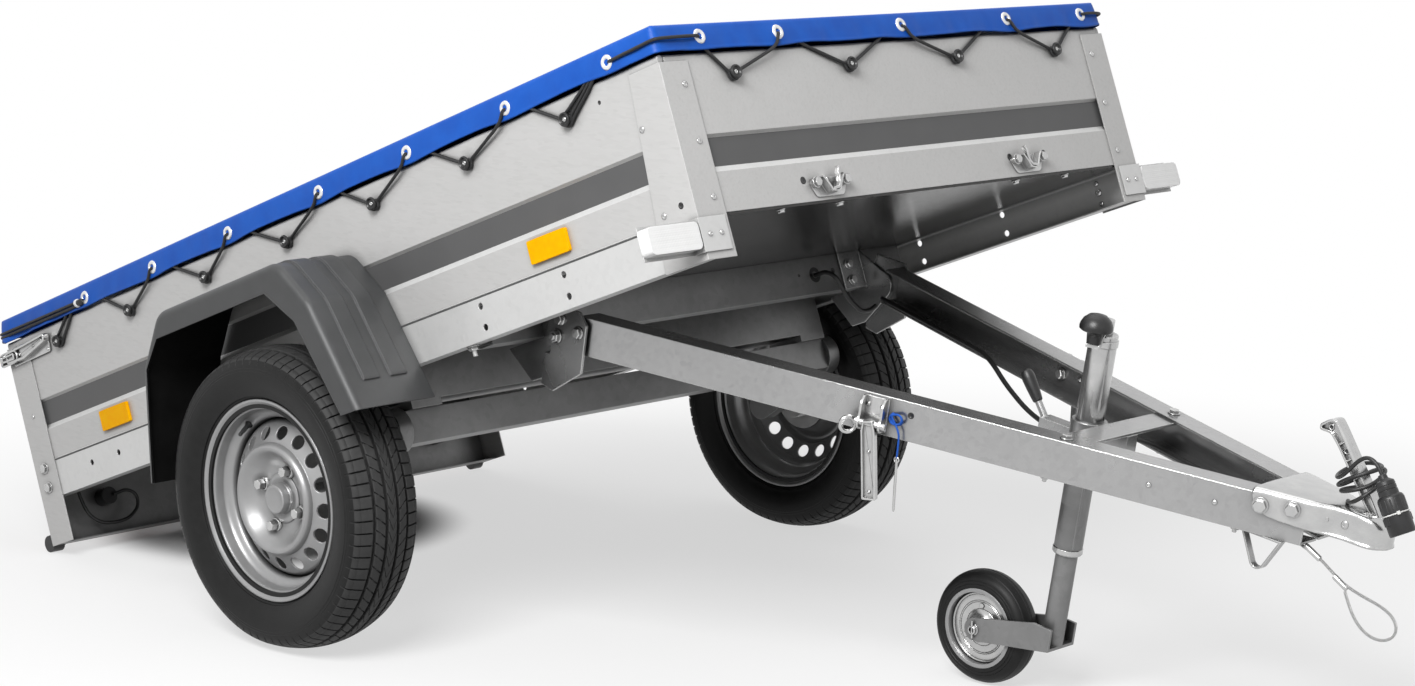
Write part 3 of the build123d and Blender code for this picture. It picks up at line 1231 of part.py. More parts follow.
with BuildPart() as jockey_tyre:
    with BuildSketch(jockey_axle):
        with BuildLine():
            half = JOCKEY_WHEEL_WIDTH / 2
            seat = JOCKEY_RIM_RADIUS + BEAD_CLEARANCE
            Polyline((JOCKEY_WHEEL_RADIUS - half / 2, half), (seat, half), (seat, -half),
                     (JOCKEY_WHEEL_RADIUS - half / 2, -half))
            ThreePointArc((JOCKEY_WHEEL_RADIUS - half / 2, -half), (JOCKEY_WHEEL_RADIUS, 0),
                          (JOCKEY_WHEEL_RADIUS - half / 2, half))
        make_face()
    revolve(axis=Axis((jockey_wheel_x, 0, jockey_wheel_z), (0, 1, 0)))
keep(jockey_tyre.part, "jockey_tyre", BAR_POSE)

# Coupling: pressed body over the arm ends, with skirts and the ball socket under its nose
nose_half = SOCKET_RADIUS + SOCKET_WALL
socket_x = coupling_nose - nose_half
skirt = COUPLING_SHEET / lean
skirt_bottom = arm_top - COUPLING_SKIRT
with BuildPart() as coupling_body:
    with BuildSketch(Plane.XY.offset(skirt_bottom)):
        with BuildLine():
            Polyline(
                (coupling_rear, arm_y(coupling_rear) + skirt),
                (ARM_FRONT, ARM_FRONT_Y + skirt),
                (ARM_FRONT + COUPLING_TAPER, nose_half),
                (socket_x, nose_half),
                (socket_x, -nose_half),
                (ARM_FRONT + COUPLING_TAPER, -nose_half),
                (ARM_FRONT, -ARM_FRONT_Y - skirt),
                (coupling_rear, -arm_y(coupling_rear) - skirt),
                close=True,
            )
        make_face()
        with Locations((socket_x, 0)):
            Circle(nose_half)
    extrude(amount=COUPLING_SKIRT + 2 * COUPLING_SHEET)
    fillet(coupling_body.faces().sort_by(Axis.Z)[-1].edges(), radius=COUPLING_SHEET)
    with BuildSketch(Plane.XY.offset(skirt_bottom)):
        with Locations((socket_x, 0)):
            Circle(nose_half + COUPLING_LIP)
        with Locations(((ARM_FRONT + COUPLING_TAPER + socket_x) / 2, 0)):
            Rectangle(socket_x - ARM_FRONT - COUPLING_TAPER, 2 * (nose_half + COUPLING_LIP))
    extrude(amount=COUPLING_SHEET)
    with BuildSketch(Plane.XY.offset(skirt_bottom)):
        with BuildLine():
            Polyline(
                (coupling_rear, arm_y(coupling_rear)),
                (ARM_FRONT, ARM_FRONT_Y),
                (ARM_FRONT + COUPLING_TAPER, nose_half - SOCKET_WALL),
                (ARM_FRONT + COUPLING_TAPER, SOCKET_WALL - nose_half),
                (ARM_FRONT, -ARM_FRONT_Y),
                (coupling_rear, -arm_y(coupling_rear)),
                close=True,
            )
        make_face()
        with Locations((socket_x, 0)):
            Circle(SOCKET_RADIUS)
    extrude(amount=COUPLING_SKIRT, mode=Mode.SUBTRACT)
keep(coupling_body.part, "coupling_body", BAR_POSE)

handle_lean = radians(HANDLE_ANGLE)
handle_way = (cos(handle_lean), 0, sin(handle_lean))
handle_plane = Plane((socket_x, 0, coupling_top), x_dir=handle_way, z_dir=(0, -1, 0))
with BuildPart() as coupling_handle:
    with BuildSketch(handle_plane.offset(-HANDLE_WIDTH / 2)):
        with Locations((HANDLE_LENGTH / 2 - HANDLE_THICKNESS, 0)):
            Rectangle(HANDLE_LENGTH + 2 * HANDLE_THICKNESS, HANDLE_THICKNESS)
        with Locations((HANDLE_LENGTH - HANDLE_THICKNESS / 2, HANDLE_TIP / 2)):
            Rectangle(HANDLE_THICKNESS, HANDLE_TIP)
    extrude(amount=HANDLE_WIDTH)
    split(bisect_by=Plane.XY.offset(coupling_top), keep=Keep.TOP)
keep(coupling_handle.part, "coupling_handle", BAR_POSE)

# Bent strip loop under the right arm
loop_front = ARM_FRONT - LOOP_FROM_FRONT + LOOP_LENGTH / 2
loop_y = arm_y(loop_front) + LOOP_SHEET
with BuildPart() as support_loop:
    with BuildSketch(side_plane(LOOP_STRIP / 2 - loop_y)) as loop_face:
        with BuildLine():
            Polyline(
                (loop_front - LOOP_LENGTH, arm_bottom),
                (loop_front - LOOP_LENGTH / 2, arm_bottom - LOOP_DROP),
                (loop_front, arm_bottom),
                close=True,
            )
        make_face()
        fillet(loop_face.vertices().sort_by(Axis.Y)[0], radius=LOOP_BEND)
        offset(amount=-LOOP_SHEET, mode=Mode.SUBTRACT)
    extrude(amount=LOOP_STRIP)
keep(support_loop.part, "support_loop", BAR_POSE)


def cable(points, radius, name):
    """Round cable along the points, each bend as large as its two runs allow."""
    bends = []
    for before, here, after in zip(points, points[1:], points[2:]):
        run_in = Vector(*here) - Vector(*before)
        run_out = Vector(*after) - Vector(*here)
        half_turn = radians(run_in.get_angle(run_out)) / 2
        bends.append(0.45 * min(run_in.length, run_out.length) / tan(half_turn))
    print(name, "bend radii, mm:", [round(bend, 1) for bend in bends])
    with BuildPart() as one:
        with BuildLine() as route:
            FilletPolyline(*points, radius=bends)
        with BuildSketch(Plane(route.line @ 0, z_dir=route.line % 0)):
            Circle(radius)
        sweep()
    return one.part


# Lighting harness along the left arm: on its flange, slack between two clips, then on to the coupling
cable_z = arm_bottom + ARM_SHEET + HARNESS_RADIUS + CABLE_LIFT


def flange_edge(x):
    """Place on the left arm's lower flange, close to its edge."""
    return (x, arm_y(x) - HARNESS_INSET, cable_z)


HARNESS_SLACK = [
    (422, 17, -12), (475, 21, -36), (548, 23, -60), (622, 23, -67),
    (700, 23, -60), (765, 21, -37), (815, 17, -12),
]
slack_points = [(x, arm_y(x) - HARNESS_INSET - out, z) for x, out, z in HARNESS_SLACK]
harness_route = [flange_edge(ARM_REAR), flange_edge(HARNESS_CLIPS[0])]
harness_route += slack_points
harness_route += [flange_edge(HARNESS_CLIPS[1]), flange_edge(coupling_rear)]
keep(cable(harness_route, HARNESS_RADIUS, "harness"), "harness", BAR_POSE)

# Harness tail from the hole in the front beam, down and forward to the arm
tail_z = floor_bottom - BEAM_DEPTH / 2
TAIL_DROP = [(48, 118, 98), (48, 90, 126), (52, 68, 126), (58, 56, 120)]
tail_route = [(beam_face_x + x, beam_hole_y, tail_z) for x in (-4 * BEAM_SHEET, HARNESS_STANDOFF)]
tail_route += [(beam_face_x + x, hinge_y - y, floor_bottom - z) for x, y, z in TAIL_DROP]
keep(cable(tail_route, HARNESS_RADIUS, "harness tail"), "harness_tail", BED_POSE)

# Lead of the right lamp plug, looped below it and up to the ledge under the floor
lamp_lead_x = plug_face + SOCKET_PLUG_LENGTH + LAMP_LEAD_RADIUS + CABLE_LIFT
LAMP_LOOP = [(42, 6), (63, -9), (59, -35), (32, -54), (0, -58), (-36, -54), (-62, -34), (-72, -4), (-76, 30)]
lead_route = [(lamp_lead_x, SOCKET_PLUG_RADIUS / 3 - lamp_y, lamp_z)]
lead_route += [(lamp_lead_x, y - lamp_y, lamp_z + z) for y, z in LAMP_LOOP]
lead_route += [(lamp_lead_x, LAMP_LOOP[-1][0] - lamp_y, floor_bottom - RAIL_SHEET)]
keep(cable(lead_route, LAMP_LEAD_RADIUS, "lamp lead"), "lamp_lead", BED_POSE)

# Lead wound round the coupling handle, as the outer shape of its turns, and its run to the plug
winding_plane = Plane((socket_x, 0, coupling_top), x_dir=(0, 1, 0), z_dir=handle_way)
coil_plane = winding_plane.offset(LEAD_COIL_LIFT - LEAD_COIL_HEIGHT / 2)
lead_exit = coil_plane.from_local_coords((0, LEAD_COIL_RADIUS, 0))
PLUG_WAY = (0.57, 0, -0.82)
LEAD_RUN = [(20.25, -40, 68.5), (6.25, -40, 88.5), (-21.75, -37, 90.5), (-40.75, -36, 66.5)]
lead_run = [(socket_x + x, y, coupling_top + z) for x, y, z in LEAD_RUN]
with BuildPart() as plug_lead:
    with BuildSketch(coil_plane):
        Circle(LEAD_COIL_RADIUS + LEAD_RADIUS)
        Circle(LEAD_COIL_RADIUS - LEAD_RADIUS, mode=Mode.SUBTRACT)
    extrude(amount=LEAD_COIL_HEIGHT)
    add(cable(lead_run, LEAD_RADIUS, "plug lead"))
    with BuildSketch(Plane((lead_exit.X, lead_exit.Y, coupling_top))):
        Circle(LEAD_RADIUS)
    extrude(amount=lead_exit.Z + LEAD_RADIUS - coupling_top)
keep(plug_lead.part, "plug_lead", BAR_POSE)

plug_plane = Plane(lead_run[0], x_dir=(0, 1, 0), z_dir=PLUG_WAY)
with BuildPart() as plug:
    with BuildSketch(plug_plane):
        Circle(PLUG_NECK_RADIUS)
    extrude(amount=PLUG_NECK_LENGTH)
    with BuildSketch(plug_plane.offset(PLUG_NECK_LENGTH)):
        Circle(PLUG_RADIUS)
    extrude(amount=PLUG_LENGTH)
keep(plug.part, "plug", BAR_POSE)

# Safety cable below the arm's end, with its loop
SAFETY_ROUTE = [
    (-23, -SAFETY_CABLE_RADIUS - CABLE_LIFT), (24, -13.5), (49, -27.5), (74, -40.5), (107, -48.5),
    (142, -52.5), (167, -61.5), (179, -78.5), (173, -96.5), (156, -106.5),
    (134, -106.5), (112, -95.5), (93, -74.5), (80, -51.5),
]
safety_points = [(ARM_FRONT + x, SAFETY_CABLE_Y, arm_bottom + z) for x, z in SAFETY_ROUTE]
keep(cable(safety_points, SAFETY_CABLE_RADIUS, "safety cable"), "safety_cable", BAR_POSE)

os.makedirs("parts", exist_ok=True)
for part, label, pose in pieces:
    placed = part.moved(pose)
    placed.label = label
    export_step(placed, f"parts/{label}.step")
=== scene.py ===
from math import atan2, cos, exp, hypot, pi, radians, sin, sqrt, tan

import bmesh
import bpy
from mathutils import Matrix, Vector


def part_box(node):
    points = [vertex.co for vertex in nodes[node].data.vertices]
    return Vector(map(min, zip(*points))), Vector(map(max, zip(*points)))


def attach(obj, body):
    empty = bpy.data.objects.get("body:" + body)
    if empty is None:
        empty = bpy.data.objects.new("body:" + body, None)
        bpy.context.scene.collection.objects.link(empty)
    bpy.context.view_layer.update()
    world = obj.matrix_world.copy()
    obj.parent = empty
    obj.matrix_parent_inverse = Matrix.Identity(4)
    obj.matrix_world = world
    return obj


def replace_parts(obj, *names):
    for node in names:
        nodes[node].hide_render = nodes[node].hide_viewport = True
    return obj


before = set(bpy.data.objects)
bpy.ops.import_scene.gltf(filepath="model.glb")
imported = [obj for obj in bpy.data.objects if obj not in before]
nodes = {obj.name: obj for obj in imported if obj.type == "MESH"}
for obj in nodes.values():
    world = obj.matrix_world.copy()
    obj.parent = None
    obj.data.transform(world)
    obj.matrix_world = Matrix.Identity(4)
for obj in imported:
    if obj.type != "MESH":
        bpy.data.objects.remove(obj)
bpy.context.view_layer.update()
scene = bpy.context.scene
scene.view_settings.view_transform = "Standard"


def centre(node):
    low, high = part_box(node)
    return (Vector(low) + Vector(high)) / 2


# The two frames of the part's source, in millimetres: the bed's starts at the wheel axis,
# the drawbar's at the tilt pivot
BED_TIP, BAR_DIP = -20.2, 9.45
PIVOT = (512, 0, 145)
move, spin = Matrix.Translation, Matrix.Rotation
AXLE = centre("tyre_right")
AXLE.y = 0
MM = Matrix.Scale(0.001, 4)
BED = move(AXLE) @ spin(radians(BED_TIP), 4, "Y") @ MM
BAR = move(BED @ Vector(PIVOT)) @ spin(radians(BAR_DIP), 4, "Y") @ MM
MIRROR = Matrix.Scale(-1, 4, (0, 1, 0))
SIDES = (("right", BED, BAR), ("left", BED @ MIRROR, BAR @ MIRROR))
FORE, UP, DOWN, OUT = (1, 0, 0), (0, 0, 1), (0, 0, -1), (0, -1, 0)
# Outer faces of the walls and posts sideways, of the posts and front wall ahead, and the wheels' middle plane
WALL, POST, FRONT, FRONT_FACE, TRACK = 591.0, 593.5, 1053.0, 1050.5, 682.0
# Outer face of an arm, from its rear end to its front end
ARM_REAR, ARM_FRONT = (43.0, 436.0), (1275.0, 51.0)
SLOPE = atan2(ARM_REAR[1] - ARM_FRONT[1], ARM_FRONT[0] - ARM_REAR[0])
ARM_OUT, ARM_IN = (sin(SLOPE), -cos(SLOPE), 0), (-sin(SLOPE), cos(SLOPE), 0)


def arm_y(x):
    """Outer face of a drawbar arm at x along the drawbar."""
    return ARM_REAR[1] - (x - ARM_REAR[0]) * tan(SLOPE)


# Camera at the photograph's eye
camera_data = bpy.data.cameras.new("camera")
camera_data.sensor_width = 36
camera_data.lens = 73.81
camera = bpy.data.objects.new("camera", camera_data)
scene.collection.objects.link(camera)
right, up, back = (0.72844, 0.68509, 0.00606), (-0.11663, 0.11529, 0.98646), (0.67511, -0.71928, 0.16389)
eye = Vector((4.0168 + AXLE.x, -3.8800, 1.4001))
camera.matrix_world = move(eye) @ Matrix((right, up, back)).transposed().to_4x4()
scene.camera = camera


# Materials
MIX_A, MIX_B, MIX_RESULT = 6, 7, 2  # colour sockets of a Mix node


def feed(tree, socket, value):
    """Set an input, or link it where the value is another node's socket."""
    if isinstance(value, bpy.types.NodeSocket):
        tree.links.new(value, socket)
    else:
        socket.default_value = value


def node(tree, kind, *first, **inputs):
    """New shader node, its inputs fed in order or by name; an underscore in a name stands for a space."""
    made = tree.nodes.new("ShaderNode" + kind)
    for key, value in [*enumerate(first), *inputs.items()]:
        feed(tree, made.inputs[key.replace("_", " ") if isinstance(key, str) else key], value)
    return made


def operate(tree, kind, operation, *first):
    """Value of a Math or VectorMath node."""
    made = node(tree, kind, *first)
    made.operation = operation
    return made.outputs["Value"]


def colour_mix(tree, factor, a, b, kind="MIX"):
    made = node(tree, "Mix")
    made.data_type, made.blend_type = "RGBA", kind
    feed(tree, made.inputs["Factor"], factor)
    feed(tree, made.inputs[MIX_A], a)
    feed(tree, made.inputs[MIX_B], b)
    return made.outputs[MIX_RESULT]


def grey(level):
    return (level, level, level)


def material(name, light, dark, rough, metal=0.0, scale=30.0, stretch=(1, 1, 1), bump=0.0, bump_scale=200.0,
             grain="noise", coat=0.0, specular=0.5, wear_and_highlight=None, edge=0.0015, occlusion_shade=0.0):
    """Surface varying with its grain, with wear and painted highlight on its edges, painted shade in its crevices.
    """
    made = bpy.data.materials.new(name)
    made.use_nodes = True
    tree = made.node_tree
    shader = tree.nodes["Principled BSDF"]
    shader.inputs["Metallic"].default_value = metal
    shader.inputs["Coat Weight"].default_value = coat
    shader.inputs["Coat Roughness"].default_value = 0.15
    shader.inputs["Specular IOR Level"].default_value = specular
    place = node(tree, "Mapping", node(tree, "TexCoord").outputs["Object"], Scale=stretch).outputs["Vector"]
    noise = node(tree, "TexNoise", Vector=place, Scale=scale, Detail=6).outputs["Fac"]
    ramp = node(tree, "ValToRGB", noise)
    for stop, position, tone in zip(ramp.color_ramp.elements, (0.32, 0.68), (dark, light)):
        stop.position = position
        stop.color = (*tone, 1)
    colour = ramp.outputs["Color"]
    if grain == "spangle":
        cells = node(tree, "TexVoronoi", Vector=place, Scale=bump_scale).outputs["Color"]
        greyed = node(tree, "HueSaturation", Saturation=0.0, Color=cells).outputs["Color"]
        colour = colour_mix(tree, 0.09, colour, greyed, "SOFT_LIGHT")
    rounding = node(tree, "Bevel", Radius=edge)
    rounding.samples = 4
    rounded = rounding.outputs["Normal"]
    # Lighter edges: partly wear, partly painted highlight where the edges catch the light
    if wear_and_highlight is not None:
        match = operate(tree, "VectorMath", "DOT_PRODUCT", rounded, node(tree, "NewGeometry").outputs["Normal"])
        bright_edge_mask = node(tree, "MapRange", match, From_Min=0.985, From_Max=0.85, To_Max=0.8).outputs["Result"]
        colour = colour_mix(tree, bright_edge_mask, colour, (*wear_and_highlight, 1))
    # Painted shade: ambient occlusion darkens the colour in crevices and corners
    if occlusion_shade:
        crevice = node(tree, "AmbientOcclusion", Distance=occlusion_shade)
        crevice.samples = 4
        colour = colour_mix(tree, 0.9, colour, crevice.outputs["Color"], "MULTIPLY")
    feed(tree, shader.inputs["Base Color"], colour)
    gloss = node(tree, "MapRange", noise, To_Min=rough[0], To_Max=rough[1]).outputs["Result"]
    feed(tree, shader.inputs["Roughness"], gloss)
    if grain == "wave":
        height = node(tree, "TexWave", Vector=place, Scale=bump_scale, Distortion=0.4).outputs["Fac"]
    elif grain == "prism":
        height = node(tree, "TexVoronoi", Vector=place, Scale=bump_scale, Randomness=0.05).outputs["Distance"]
    else:
        height = node(tree, "TexNoise", Vector=place, Scale=bump_scale, Detail=3).outputs["Fac"]
    relief = node(tree, "Bump", Strength=bump, Distance=0.001, Height=height, Normal=rounded)
    feed(tree, shader.inputs["Normal"], relief.outputs["Normal"])
    return made


panel = material("galvanised_panel", (0.555, 0.55, 0.545), (0.535, 0.532, 0.525), (0.36, 0.46), metal=0.22,
    scale=5, stretch=(0.4, 2, 2), grain="spangle", bump_scale=140, bump=0.03, wear_and_highlight=(0.76, 0.76, 0.75), occlusion_shade=0.02)
galvanised = material("galvanised", (0.68, 0.68, 0.675), (0.64, 0.64, 0.635), (0.34, 0.46), metal=0.4, scale=9,
    grain="spangle", bump_scale=110, bump=0.04, wear_and_highlight=(0.84, 0.84, 0.83), occlusion_shade=0.02)
bar_steel = material("drawbar_steel", grey(0.40), grey(0.375), (0.2, 0.32), metal=0.85, scale=11, grain="spangle",
    bump_scale=120, bump=0.03, wear_and_highlight=(0.80, 0.80, 0.79), edge=0.0025, occlusion_shade=0.03)
# Steel of the parts under the bed, darker than the same steel above: painted shade
shaded_under_steel = material("shaded_under_steel", grey(0.25), grey(0.21), (0.32, 0.5), metal=0.6, scale=14, grain="spangle",
    bump_scale=90, bump=0.06, wear_and_highlight=grey(0.42), edge=0.002, occlusion_shade=0.04)
stripe = material("stripe_film", (0.092, 0.092, 0.093), (0.082, 0.082, 0.083), (0.42, 0.5), scale=12, bump=0.04,
    bump_scale=500)
# Painted shade for the folds that face down and for the seams under the walls
groove = material("groove_shade", grey(0.10), grey(0.07), (0.5, 0.65), scale=60, bump=0.05, bump_scale=400)
zinc = material("zinc", (0.56, 0.56, 0.555), grey(0.50), (0.16, 0.28), metal=0.9, scale=45, bump=0.03,
    bump_scale=160, wear_and_highlight=(0.88, 0.88, 0.87), edge=0.001, occlusion_shade=0.012)
nickel = material("eyelet_nickel", (0.85, 0.85, 0.84), grey(0.74), (0.16, 0.3), metal=0.45, scale=120, bump=0.05,
    bump_scale=300, wear_and_highlight=(0.95, 0.95, 0.94), edge=0.0008)
rubber = material("tyre_rubber", grey(0.010), grey(0.006), (0.4, 0.55), scale=60, bump=0.12, bump_scale=900,
    specular=0.25, wear_and_highlight=grey(0.03), edge=0.001)
tread_rubber = material("tread_rubber", grey(0.046), grey(0.032), (0.55, 0.7), scale=60, bump=0.12, bump_scale=900,
    specular=0.3, wear_and_highlight=grey(0.07), edge=0.001, occlusion_shade=0.008)
plastic = material("black_plastic", (0.018, 0.018, 0.019), grey(0.010), (0.3, 0.45), scale=50, bump=0.06,
    bump_scale=1500, wear_and_highlight=grey(0.05), edge=0.0008)
guard = material("guard_plastic", (0.052, 0.053, 0.054), (0.042, 0.043, 0.044), (0.38, 0.5), scale=25, bump=0.2,
    bump_scale=1300, wear_and_highlight=(0.13, 0.13, 0.135), edge=0.004)
# Painted shade for the inside of the mudguards
guard_inside_shade = material("guard_inside_shade", grey(0.006), grey(0.003), (0.6, 0.75), scale=25, bump=0.2, bump_scale=1300,
    specular=0.1)
amber = material("amber_lens", (1.0, 0.50, 0.0), (1.0, 0.44, 0.0), (0.2, 0.3), scale=60, bump=0.4, bump_scale=420,
    grain="prism", specular=0.05)
white_lens = material("white_lens", (0.95, 0.95, 0.945), (0.91, 0.91, 0.905), (0.12, 0.25), scale=40, bump=0.3,
    bump_scale=300, grain="prism", coat=0.4)
red_lens = material("red_lens", (0.50, 0.015, 0.015), (0.36, 0.008, 0.008), (0.12, 0.25), scale=40, bump=0.5,
    bump_scale=300, grain="prism", coat=0.4)
rim_silver = material("rim_silver", (0.36, 0.36, 0.362), (0.33, 0.33, 0.332), (0.30, 0.4), metal=0.5, scale=30,
    bump=0.04, bump_scale=900, wear_and_highlight=grey(0.55), edge=0.002, occlusion_shade=0.012)
board = material("floor_board", (0.035, 0.033, 0.032), (0.018, 0.017, 0.016), (0.10, 0.22), scale=18,
    stretch=(1, 6, 6), bump=0.05, bump_scale=300, grain="wave", specular=0.45)
cable_black = material("cable_black", grey(0.020), grey(0.011), (0.35, 0.5), scale=90, bump=0.1, bump_scale=1200)
lace_black = material("lace_black", (0.016, 0.016, 0.017), (0.008, 0.008, 0.009), (0.5, 0.7), scale=400, bump=0.4,
    bump_scale=1100, grain="wave")
rope = material("wire_rope", (0.82, 0.82, 0.81), grey(0.50), (0.25, 0.4), metal=0.6, scale=600,
    stretch=(1, 1, 2.5), bump=0.8, bump_scale=420, grain="wave")
cover_cloth = material("cover_cloth", (0.012, 0.105, 0.50), (0.008, 0.084, 0.44), (0.34, 0.5), scale=26, bump=0.2,
    bump_scale=750, specular=0.22, wear_and_highlight=(0.02, 0.14, 0.60), edge=0.003)
blue_string = material("blue_string", (0.01, 0.13, 0.62), (0.006, 0.08, 0.45), (0.5, 0.7), scale=500, bump=0.4,
    bump_scale=900, grain="wave")
tie_white = material("tie_white", (0.85, 0.85, 0.83), (0.74, 0.74, 0.72), (0.3, 0.45), scale=120, bump=0.1)

MATERIALS = {
    panel: ["side_wall_left", "side_wall_right", "front_wall", "tailgate", "front_posts", "rear_posts"],
    galvanised: ["side_rail_left", "side_rail_right", "marker_brackets", "tailgate_hinges"],
    bar_steel: ["drawbar_arm_left", "drawbar_arm_right", "cross_strip", "support_loop", "jockey_clamp",
                "hinge_plates", "hinge_brackets"],
    shaded_under_steel: ["rear_panel", "front_beam", "axle_member", "axle_beam", "swing_arms",
                  "jockey_nut", "jockey_fork"],
    zinc: ["tailgate_latches", "tilt_latches", "latch_saddles", "coupling_body", "coupling_handle",
           "jockey_crank", "jockey_tube", "hub_left", "hub_right"],
    rim_silver: ["rim_left", "rim_right", "jockey_rim"],
    board: ["floor"],
    guard: ["mudguard_left", "mudguard_right"],
    amber: ["side_reflectors"],
    white_lens: ["front_markers"],
    red_lens: ["tail_lamps"],
    plastic: ["jockey_grips", "lamp_plugs", "plug", "rear_feet", "lacing_knobs"],
    rubber: ["tyre_left", "tyre_right", "jockey_tyre"],
    cable_black: ["harness", "harness_tail", "lamp_lead", "plug_lead"],
    rope: ["safety_cable"],
    cover_cloth: ["cover"],
}
for finish, names in MATERIALS.items():
    for name in names:
        nodes[name].data.materials.clear()
        nodes[name].data.materials.append(finish)

# The walls' dark stripe, painted shade and painted highlight on the folds round it, and the guards' insides in
# painted shade
STRIPE_Z, UPPER_FOLD_Z, LOWER_FOLD_Z = (303, 353), (474, 484), (294, 305)
WALL_FACES = (("side_wall_left", 1, 1), ("side_wall_right", 1, -1), ("front_wall", 0, 1), ("tailgate", 0, -1))
to_bed = BED.inverted()
for name, axis, sign in WALL_FACES:
    mesh = nodes[name].data
    for finish in (stripe, groove, galvanised):
        mesh.materials.append(finish)
    for face in mesh.polygons:
        levels = [(to_bed @ mesh.vertices[i].co).z for i in face.vertices]
        normal = (to_bed.to_3x3() @ face.normal).normalized()
        if min(levels) > STRIPE_Z[0] and max(levels) < STRIPE_Z[1] and normal[axis] * sign > 0.9:
            face.material_index = 1
        # Painted shade: fold faces that face down take the groove's dark colour
        elif normal.z < -0.3 and UPPER_FOLD_Z[0] < min(levels) < UPPER_FOLD_Z[1]:
            face.material_index = 2
        # Painted highlight: fold faces that face up take the lighter galvanised colour
        elif normal.z > 0.3 and LOWER_FOLD_Z[0] < min(levels) and max(levels) < LOWER_FOLD_Z[1]:
            face.material_index = 3
# Painted shade: the guards' faces turned towards the wheel are near black
for name in ("mudguard_left", "mudguard_right"):
    mesh = nodes[name].data
    mesh.materials.append(guard_inside_shade)
    for face in mesh.polygons:
        place, normal = to_bed @ face.center, to_bed.to_3x3() @ face.normal
        if normal.x * place.x + normal.z * place.z < -0.25 * normal.length * hypot(place.x, place.z):
            face.material_index = 1


def piece(name, data, finish, body):
    """Object of a mesh or curve, with its material and body."""
    data.materials.append(finish)
    obj = bpy.data.objects.new(name, data)
    scene.collection.objects.link(obj)
    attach(obj, body)
    return obj


def world_mm(pose, points):
    return [(pose @ Vector(p)) * 1000 for p in points]


def curve_piece(name, routes, radius, finish, body, pose, segments=4, cyclic=False):
    """A round wire along one or more routes, each a list of points."""
    data = bpy.data.curves.new(name, "CURVE")
    data.dimensions = "3D"
    data.bevel_depth = radius / 1000
    data.bevel_resolution = segments
    data.resolution_u = 6
    data.use_fill_caps = True
    for route in routes:
        spline = data.splines.new("NURBS")
        spline.points.add(len(route) - 1)
        for target, point in zip(spline.points, route):
            target.co = (*(pose @ Vector(point)), 1)
        spline.order_u = 3
        spline.use_endpoint_u = not cyclic
        spline.use_cyclic_u = cyclic
    return piece(name, data, finish, body)


# Cords first: the lead wound loosely on the coupling handle, and the safety cable
SOCKET = Vector((1367.75, 0, 55.5))
lean = radians(129.5)
handle_way, handle_back = Vector((cos(lean), 0, sin(lean))), Vector((-sin(lean), 0, cos(lean)))
lead_route = [(1314.5, 0, 55.5), (1314.5, 0, 60)]
TURNS, PER_TURN = 3.25, 14
steps = int(TURNS * PER_TURN)
for i in range(1, steps + 1):
    turn = pi / 2 + 2 * pi * TURNS * i / steps
    radius = 36 + 2.5 * sin(2.3 * turn)
    lift = 34 + 46 * i / steps + 7 * sin(turn + 0.8) + 4 * sin(1.7 * turn)
    point = SOCKET + radius * (cos(turn) * Vector((0, 1, 0)) + sin(turn) * handle_back) + lift * handle_way
    lead_route.append(tuple(point))
lead_route += [(1346, -37, 150), (1374, -40, 146), (1388, -40, 124)]
lead = curve_piece("plug_lead_cord", [lead_route], 3.3, cable_black, "drawbar", BAR)
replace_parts(lead, "plug_lead")

SAFETY = [(1252, -21.4), (1299, -33), (1324, -47), (1349, -60), (1382, -68), (1417, -72), (1442, -81), (1454, -98),
    (1448, -116), (1431, -126), (1409, -126), (1387, -115), (1368, -94), (1355, -71)]
safety = curve_piece("safety_rope", [[(x, -30, z) for x, z in SAFETY]], 2.4, rope, "drawbar", BAR)
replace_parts(safety, "safety_cable")


# Sheet-metal and turned shapes
def inset(outline, distance):
    """Outline moved inwards by a distance; the outline runs anticlockwise."""
    moved = []
    for k, (x, y) in enumerate(outline):
        ax, ay = outline[k - 1]
        bx, by = outline[(k + 1) % len(outline)]
        a, b = Vector((x - ax, y - ay)).normalized(), Vector((bx - x, by - y)).normalized()
        na, nb = Vector((-a.y, a.x)), Vector((-b.y, b.x))
        shift = (na + nb) * (distance / max(0.3, 1 + na.dot(nb)))
        moved.append((x + shift.x, y + shift.y))
    return moved


def eased(corners, radius, steps=4):
    """Plate outline with its corners rounded."""
    points = []
    for k, corner in enumerate(corners):
        here = Vector(corner)
        to_a, to_b = Vector(corners[k - 1]) - here, Vector(corners[(k + 1) % len(corners)]) - here
        reach = min(radius, 0.45 * to_a.length, 0.45 * to_b.length)
        start, stop = here + to_a.normalized() * reach, here + to_b.normalized() * reach
        for j in range(steps + 1):
            t = j / steps
            points.append(tuple((1 - t) ** 2 * start + 2 * t * (1 - t) * here + t ** 2 * stop))
    return points


def strip(path, thickness):
    """Outline of a strip that follows a path."""
    sides = []
    for sign in (1, -1):
        side = []
        for k, (x, y) in enumerate(path):
            before, after = Vector(path[max(k - 1, 0)]), Vector(path[min(k + 1, len(path) - 1)])
            way = (after - before).normalized()
            side.append((x + sign * way.y * thickness / 2, y - sign * way.x * thickness / 2))
        sides.append(side)
    return sides[0] + sides[1][::-1]


def frame_at(pose, place, across, along):
    """Frame at a place with its x and y axes along two directions."""
    x, y = Vector(across), Vector(along)
    axes = Matrix((x, y, x.cross(y))).transposed().to_4x4()
    return pose @ (move(Vector(place)) @ axes)


def facing(pose, place, normal):
    """Frame at a place, its z axis along the normal."""
    return pose @ (move(Vector(place)) @ Vector(normal).to_track_quat("Z", "Y").to_matrix().to_4x4())


